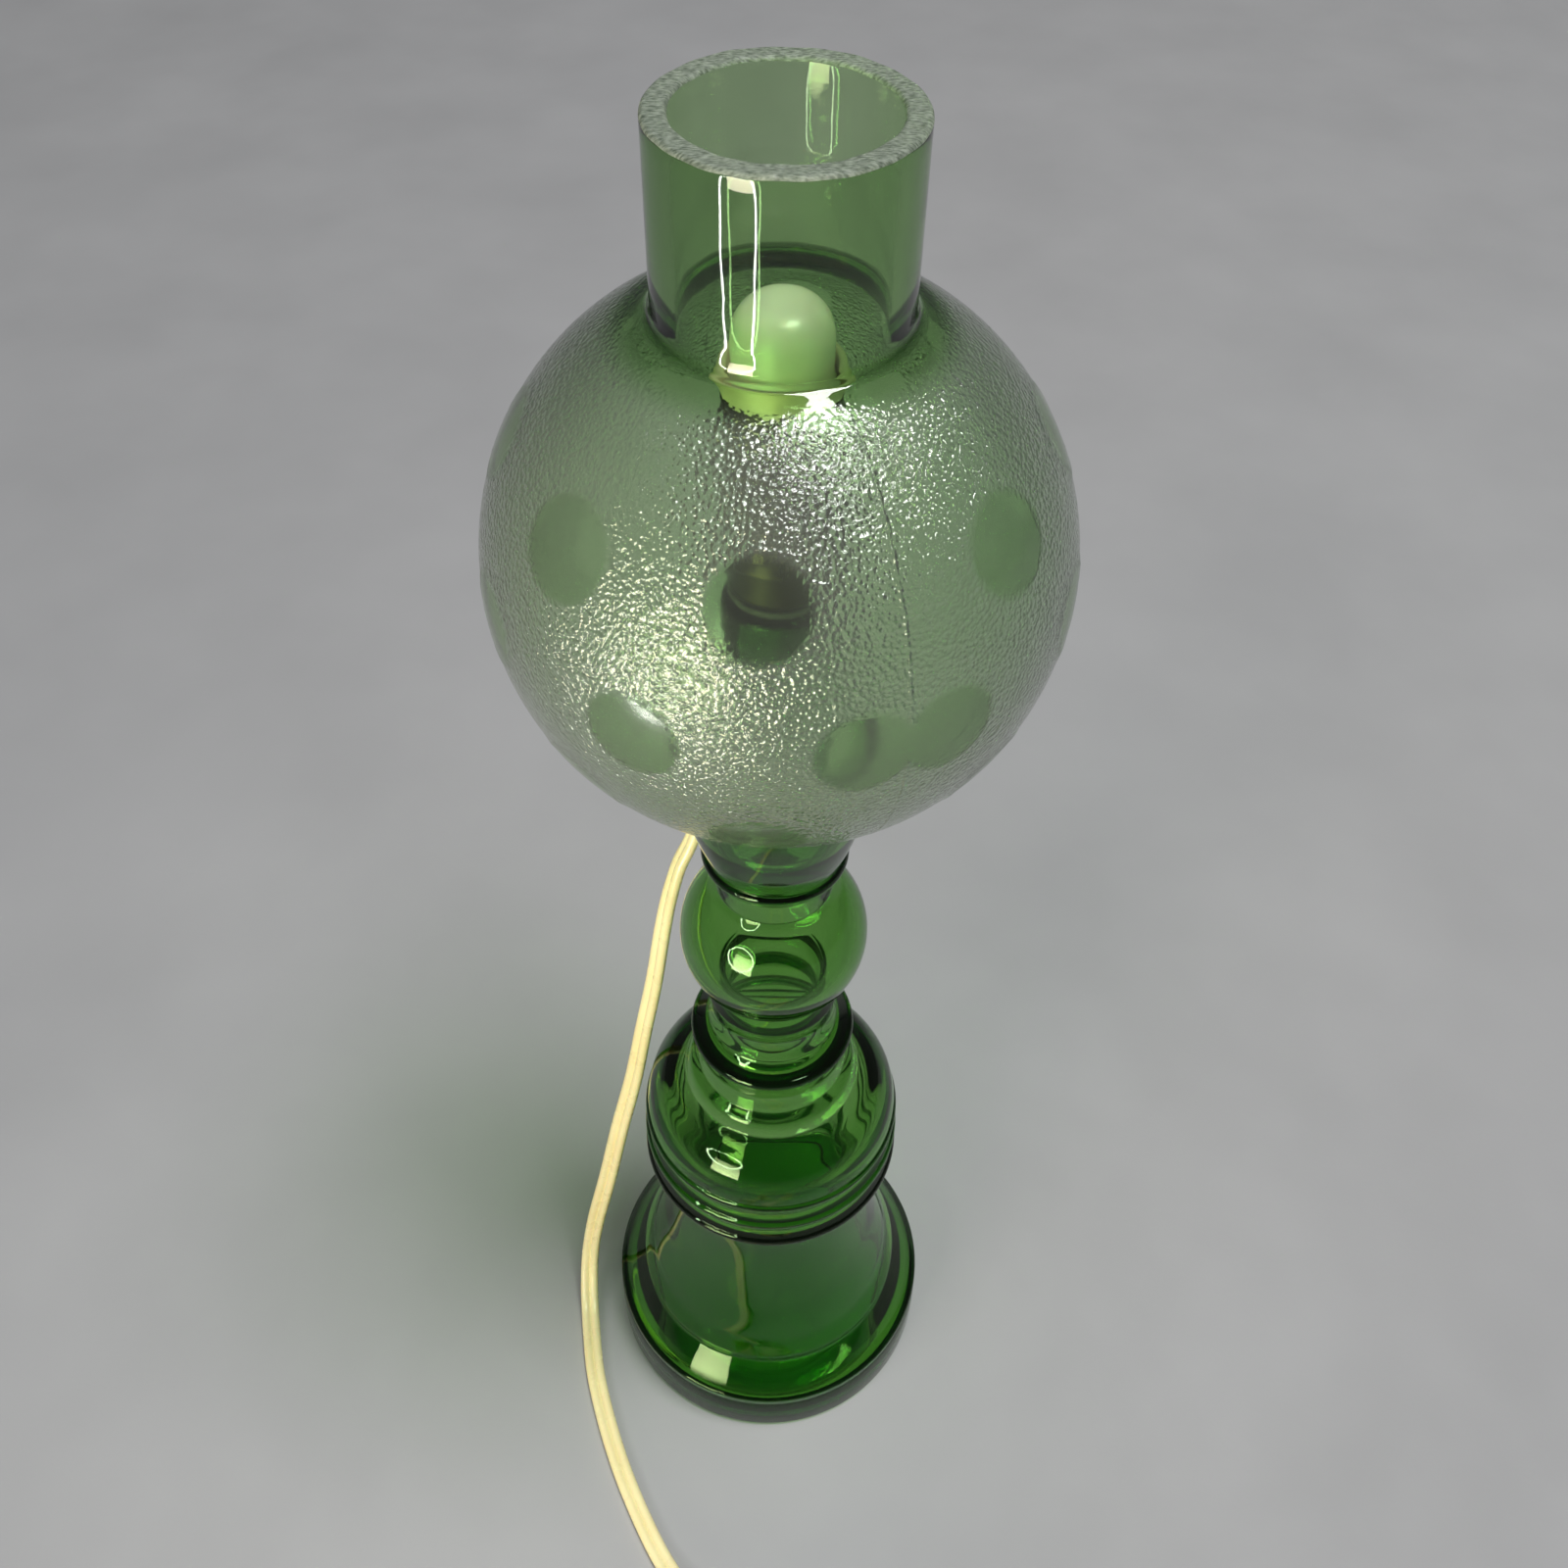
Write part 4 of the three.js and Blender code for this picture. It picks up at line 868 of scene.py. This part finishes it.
bulb = turned("bulb_envelope", bulb_profile(), 72, closed=True, sharp=60)
finish_piece(bulb, BULB_GLASS, "bulb_glass", body="bulb")
outer = thread(5.95, 0.4, 351, 363.7, 2.54)
inner = [(radius - 0.45, z) for radius, z in reversed(outer)]
cap_metal = turned("bulb_screw_shell", [(4.2, 350.5), (5.4, 350.6), *outer, (5.9, 364.8),
                                        (5.3, 364.8), *inner, (4.9, 351.1), (4.2, 351.1)], 64,
                   closed=True)
finish_piece(cap_metal, STEEL, "bulb_screw_base", body="bulb")
for name, node, profile, look in (
    ("bulb_base_insulator", "bulb_insulator",
     [(0, 348.2), (2.4, 348.2), (3.9, 350.2), (3.9, 351.6), (0, 351.6)], PHENOLIC),
    ("bulb_tip_contact", "bulb_contact",
     [(0, 346.3), (1.1, 346.5), (2, 347.3), (2, 347.9), (0, 347.9)], STEEL),
    ("bulb_glass_stem", "bulb_stem",
     [(0, 359.3), (2.5, 359.3), (2.5, 360.4), (1.5, 362.5), (1.3, 369.6), (1.8, 371.4),
      (0, 371.4)], CLEAR_GLASS),
):
    turned_piece(name, profile, 0.35, 40, look, node, closed=False, body="bulb")


def wire(name, points, radius, sides=10):
    """A round wire along points in millimetres."""
    line = np.array(points, float) * MM
    tangents = unit(np.gradient(line, axis=0))
    side = unit(np.cross(tangents, (0.0, 1.0, 0.0)))
    other = np.cross(tangents, side)
    rings = []
    for p, a, b in zip(line, side, other):
        rings.append([tuple(p + radius * MM * (a * math.cos(t) + b * math.sin(t)))
                      for t in np.linspace(0, 2 * math.pi, sides, endpoint=False)])
    return lofted(name, rings, sharp=60)


for side, node in ((-1, "filament_support_left"), (1, "filament_support_right")):
    points = spline([(side * 1.2, 0, 371.8), (side * 1.8, 0, 374.5), (side * 4, 0, 378.6)], 0.3)
    finish_piece(wire(node + "_wire", points, 0.2), TUNGSTEN, node, body="bulb")
middle = spline([(-4, 0, 379.2), (-2, 0, 381), (0, 0, 380.2), (2, 0, 381), (4, 0, 379.2)], 0.05)
turns = np.arange(len(middle)) * 0.55
coiled = middle + 0.16 * np.column_stack([np.zeros(len(middle)), np.cos(turns), np.sin(turns)])
finish_piece(wire("filament_coiled", coiled, 0.06, 6), TUNGSTEN, "filament", body="bulb")

# ---- in-line switch
SWITCH_AT = Vector((0.009, -0.140, 0))
SWITCH_TURN = math.atan2(-0.768, 0.64)
SWITCH_PLACE = Matrix.Translation(SWITCH_AT) @ Matrix.Rotation(SWITCH_TURN, 4, "Z")
SWITCH_L = 0.058
SWITCH_W = 0.019
SPLIT_Z = 0.0084
SWITCH_TOP_Z = 0.0146
WHEEL_R = 0.0076
WHEEL_AT = (0.0, 0.0048)
SCREW_AT = [(-0.021, -0.0062), (0.021, -0.0062)]


def switch_shell(name, levels):
    """A rounded half of the switch's case: levels are (height, how far its edge is drawn in)."""
    return lofted(name, [[(x, y, z) for x, y in stadium(SWITCH_L - 2 * d, SWITCH_W - 2 * d, 16)]
                         for z, d in levels], SWITCH_PLACE)


def rod_at(name, radius, low, high, at):
    outline = [(x + at[0], y + at[1]) for x, y in round_outline(radius, 40)]
    return prism(name, outline, low, high, SWITCH_PLACE)


lower = switch_shell("switch_case_lower", [
    (0.00005, 0.0016), (0.0004, 0.0008), (0.0011, 0.0002), (0.0018, 0.0), (SPLIT_Z - 0.0003, 0.0),
    (SPLIT_Z, 0.0003)])
channel = prism("channel", rectangle(0.031, 0.00355), 0.0044, 0.0104, SWITCH_PLACE)
cut_away(lower, channel, rod_at("hole", 0.0013, 0.0046, 0.0136, WHEEL_AT))
finish_piece(lower, PLASTIC, "switch_lower_shell")
upper = switch_shell("switch_case_upper", [
    (SPLIT_Z + 0.0003, 0.0003), (SPLIT_Z + 0.0006, 0.0), (SWITCH_TOP_Z - 0.0026, 0.0),
    (SWITCH_TOP_Z - 0.0016, 0.0003), (SWITCH_TOP_Z - 0.0008, 0.0009),
    (SWITCH_TOP_Z - 0.0002, 0.0019), (SWITCH_TOP_Z, 0.0031)])
cut_away(upper, rod_at("well", WHEEL_R + 0.0005, 0.008, 0.0124, WHEEL_AT),
         rod_at("axle_hole", 0.0013, 0.0124, 0.0136, WHEEL_AT),
         *[rod_at("sink", 0.0024, SWITCH_TOP_Z - 0.0018, 0.020, at) for at in SCREW_AT])
finish_piece(upper, PLASTIC, "switch_upper_shell")


def wheel_outline(shrink):
    teeth, steps = 22, 6
    points = []
    for i in range(teeth * steps):
        wave = 0.5 + 0.5 * math.cos(2 * math.pi * i / steps)
        radius = WHEEL_R - shrink - 0.0005 * wave
        a = 2 * math.pi * i / (teeth * steps)
        points.append((radius * math.cos(a) + WHEEL_AT[0], radius * math.sin(a) + WHEEL_AT[1]))
    return points


wheel = lofted("switch_thumb_wheel", [[(x, y, z) for x, y in wheel_outline(d)] for z, d in (
    (0.009, 0.0005), (0.0093, 0.0001), (0.0096, 0.0), (0.0114, 0.0), (0.0117, 0.0001),
    (0.012, 0.0005))], SWITCH_PLACE, sharp=45)
cut_away(wheel, rod_at("bore", 0.00135, 0.008, 0.013, WHEEL_AT), sharp=45)
finish_piece(wheel, PLASTIC, "switch_wheel", body="wheel")
for number, at in enumerate(SCREW_AT, 1):
    at_world = SWITCH_PLACE @ Vector((at[0], at[1], 0))
    top = SWITCH_TOP_Z * 1000
    screw = turned(f"case_screw_{number}", rounded([
        (0, 2.4), (0.8, 2.4), (1, 2.8), (1, top - 1.5), (2.1, top - 1.5), (2.1, top - 0.7),
        (1.5, top - 0.35), (0, top - 0.3)], 0.2), 32, centre=(at_world.x, at_world.y, 0))
    slot_cut = prism("slot", rectangle(0.0025, 0.0003, at), SWITCH_TOP_Z - 0.0009, SWITCH_TOP_Z,
                     SWITCH_PLACE)
    cut_away(screw, slot_cut)
    finish_piece(screw, STEEL, f"switch_screw_{number}")

# ---- plug
PLUG_PLACE = Matrix.Translation(CORD_TO_PLUG[-1]) @ Matrix.Rotation(0.2, 4, "Z")
PLUG_START = 22.6
PLUG_END = 47.0
PIN_X = 6.35
PIN_L = 17.5


def rounded_section(y, width, height, share=0.34, steps=6):
    """A ring of points in millimetres, turned into metres, around the plug's own +Y axis."""
    radius = min(width, height) * share
    points = []
    for sx, sz, start in ((1, 1, 0), (-1, 1, 90), (-1, -1, 180), (1, -1, 270)):
        for i in range(steps + 1):
            a = math.radians(start + 90 * i / steps)
            points.append(((sx * (width / 2 - radius) + radius * math.cos(a)) * MM, y * MM,
                           (sz * (height / 2 - radius) + radius * math.sin(a)) * MM))
    return points[::-1]


def relief_sections():
    """A tapered sleeve with shallow grooves all round it."""
    sections = [(0.3, 6.9, 4.2), (0.7, 7.5, 4.7)]
    for i in range(6):
        y = 2.2 + 3.1 * i
        grow = (y - 0.3) / (PLUG_START - 0.6)
        width, height = 7.8 + 2.6 * grow, 4.9 + 2.9 * grow
        sections += [(y + up, width + grown, height + grown) for up, grown in (
            (0, 0), (1.1, 0), (1.4, -0.9), (2.1, -0.9), (2.4, 0.2))]
    return sections + [(PLUG_START - 0.5, 10.6, 7.9), (PLUG_START - 0.3, 10.2, 7.6)]


relief = lofted("plug_relief_grooved", [rounded_section(*s) for s in relief_sections()],
                PLUG_PLACE)
sleeve_bore = prism("bore", rectangle(0.0033, 0.0018), -0.030, 0.010,
                    PLUG_PLACE @ Matrix.Rotation(math.radians(90), 4, "X"))
cut_away(relief, sleeve_bore)
finish_piece(relief, VINYL, "plug_strain_relief")

body_sections = [(PLUG_START, 11.4, 8.4), (PLUG_START + 0.5, 12.2, 9.1), (26.6, 17.6, 11.4),
                 (29.6, 20.2, 12.2), (33, 21.6, 12.7)]
for i in range(4):
    y = 34.2 + 2.2 * i
    body_sections += [(y + up, width + 0.2 * i, 12.7) for up, width in (
        (0, 21.9), (0.4, 20.9), (1.0, 20.9), (1.4, 22.0))]
body_sections += [(44, 23, 12.7), (PLUG_END - 1, 22.9, 12.6), (PLUG_END - 0.3, 22.3, 12.1),
                  (PLUG_END, 21.3, 11.4)]
plug = lofted("plug_moulded_body", [rounded_section(*s) for s in body_sections], PLUG_PLACE)
slots = []
for side in (-1, 1):
    x = side * PIN_X * MM
    slots.append(lofted("slot", [[(x + sx * 0.00095, y, sz * 0.0034) for sx, sz in
                                  ((1, 1), (-1, 1), (-1, -1), (1, -1))][::-1]
                                 for y in (0.0412, 0.055)], PLUG_PLACE))
cut_away(plug, *slots)
finish_piece(plug, VINYL, "plug_body")


def blade(name, x):
    end = PLUG_END + PIN_L
    outline = [(PLUG_END - 5, -3.15), (end - 2.2, -3.15), (end - 0.9, -2.7), (end - 0.2, -1.9),
               (end, -1.2), (end, 1.2), (end - 0.2, 1.9), (end - 0.9, 2.7), (end - 2.2, 3.15),
               (PLUG_END - 5, 3.15)]
    rings = []
    for across, inset in ((-0.75, 0.18), (-0.55, 0.0), (0.55, 0.0), (0.75, 0.18)):
        rings.append([((x + across) * MM, (y - inset * (y > 50)) * MM,
                       (z - math.copysign(inset, z)) * MM) for y, z in outline])
    obj = lofted(name, rings, PLUG_PLACE)
    hole = [(y * MM + (end - 5) * MM, z) for y, z in round_outline(1.5, 24)]
    cutter = lofted("hole", [[((x + a) * MM, y, z * MM) for y, z in hole] for a in (-2, 2)],
                    PLUG_PLACE)
    return cut_away(obj, cutter)


finish_piece(blade("plug_pin_live", -PIN_X), BRASS, "plug_blade_live")
finish_piece(blade("plug_pin_neutral", PIN_X), BRASS, "plug_blade_neutral")


# ---- tie around the coil
def tie_band():
    """A flat band once round the coil's section."""
    inside, outside, slack = 30.5, 42.75, 1.2
    middle = (inside + outside) / 2
    width, low, high = outside - inside + slack, 0.05, 14.1
    path = rounded([(-width / 2 - 0.3, low + 0.3), (width / 2 + 0.3, low + 0.3),
                    (width / 2 + 0.3, high - 0.3), (-width / 2 - 0.3, high - 0.3)], 1.6,
                   closed=True, steps=6)
    vertices, faces = [], []
    count = len(path)
    for i, (x, z) in enumerate(path):
        before, after = path[i - 1], path[(i + 1) % count]
        along = Vector((after[0] - before[0], after[1] - before[1])).normalized()
        out = Vector((along.y, -along.x))
        for off, across in ((-0.28, -2.6), (0.18, -2.6), (0.28, 0.0), (0.18, 2.6), (-0.28, 2.6)):
            vertices.append(Vector((middle + x + out.x * off, across, z + out.y * off)) * MM)
    for i in range(count):
        for k in range(5):
            a, b = i * 5 + k, i * 5 + (k + 1) % 5
            c, d = (a + 5) % (5 * count), (b + 5) % (5 * count)
            faces.append((a, b, d, c))
    place = Matrix.Translation((*COIL_CENTRE, 0)) @ Matrix.Rotation(TIE_ANGLE, 4, "Z")
    return add_object("coil_tie_band", [place @ v for v in vertices], faces), place


tie, tie_place = tie_band()
finish_piece(tie, TIE_BLACK, "coil_tie")
for side in (0, 1):
    steps = np.linspace(0, 1, 60)
    angle = steps * 9.0 + side * math.pi
    fan = 0.7 + 1.3 * smoothstep(steps, 0.7, 1.0)
    tail = np.column_stack([36.0 + 11.0 * steps, fan * np.cos(angle),
                            14.9 + 0.9 * np.sin(angle) + 1.2 * steps])
    obj = wire(f"coil_tie_end_{side + 1}", tail, 0.42)
    obj.data.transform(tie_place)
    finish_piece(obj, TIE_BLACK)

# ---- nodes kept as they are
KEPT = {
    "lower_lock_nut": BRASS, "upper_lock_nut": BRASS, "cord_outlet_bushing": RUBBER,
    "socket_body": PHENOLIC, "terminal_screw_live": BRASS, "terminal_screw_neutral": STEEL,
    "cord_lead_live": BRASS, "cord_lead_neutral": BRASS, "switch_axle": STEEL,
}
for node, look in KEPT.items():
    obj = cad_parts[node]
    obj.data.materials.clear()
    obj.data.materials.append(look)


# ---- floor and light
def floor_material():
    s = Shader("pale_floor")
    shader = s.principled(
        Base_Color=s.colours(s.noise(9.0, 3.0), (0.335, 0.335, 0.34), (0.37, 0.37, 0.375)),
        Roughness=s.range(s.noise(40.0, 2.0), 0.75, 0.9),
        Normal=s.bump(s.noise(500.0, 3.0), 0.06, 0.0005))
    return s.end(shader.outputs[0])


FLOOR_HALF = 9.0
FLOOR_GAP = 0.00002                  # keeps the floor just under what stands on it
floor = add_object("floor", [(x, y, FLOOR_Z - FLOOR_GAP) for x, y in rectangle(
    FLOOR_HALF, FLOOR_HALF)], [(0, 1, 2, 3)])
floor.data.materials.append(floor_material())


def area_light(name, at, towards, size, power, colour=(1, 1, 1), spread=180):
    data = bpy.data.lights.new(name, "AREA")
    data.energy = power
    data.color = colour
    data.shape = "SQUARE"
    data.size = size
    data.spread = math.radians(spread)
    light = bpy.data.objects.new(name, data)
    bpy.context.scene.collection.objects.link(light)
    light.location = at
    light.rotation_euler = (Vector(towards) - Vector(at)).to_track_quat("-Z", "Y").to_euler()
    return light


def ring_light(name, at, towards, inner, outer, strength, steps=64):
    """A flat ring lamp, which gives the glass its ring-shaped highlights."""
    turn = (Vector(towards) - Vector(at)).to_track_quat("-Z", "Y").to_matrix().to_4x4()
    place = Matrix.Translation(at) @ turn
    rim = round_outline(1.0, steps)
    vertices = [place @ Vector((x * radius, y * radius, 0)) for radius in (inner, outer)
                for x, y in rim]
    faces = [(k, (k + 1) % steps, steps + (k + 1) % steps, steps + k) for k in range(steps)]
    lamp = add_object(name, vertices, faces)
    s = Shader(name)
    glow = s.add("ShaderNodeEmission", {"Color": (1.0, 0.99, 0.96, 1), "Strength": strength})
    lamp.data.materials.append(s.end(glow.outputs[0]))
    lamp.visible_camera = False


area_light("overhead", at=(1.06, -0.48, 4.10), towards=(0, 0, 0.10), size=1.55, power=162.0)
area_light("low_left", at=(-0.50, -0.77, 0.19), towards=(0, 0, 0.33), size=0.34, power=1.0,
           colour=(1.0, 0.90, 0.66), spread=60)
ring_light("ring_light", at=(-0.20, -0.275, 0.25), towards=(0, 0, 0.31), inner=0.082,
           outer=0.092, strength=34.0)
world = bpy.data.worlds.new("studio")
world.use_nodes = True
sky = world.node_tree.nodes["Background"].inputs
sky["Color"].default_value = (0.90, 0.93, 0.96, 1)
sky["Strength"].default_value = 0.13
scene = bpy.context.scene
scene.world = world
scene.view_settings.view_transform = "Standard"
scene.cycles.max_bounces = 16
scene.cycles.transmission_bounces = 16
scene.cycles.transparent_max_bounces = 24
scene.cycles.use_denoising = True
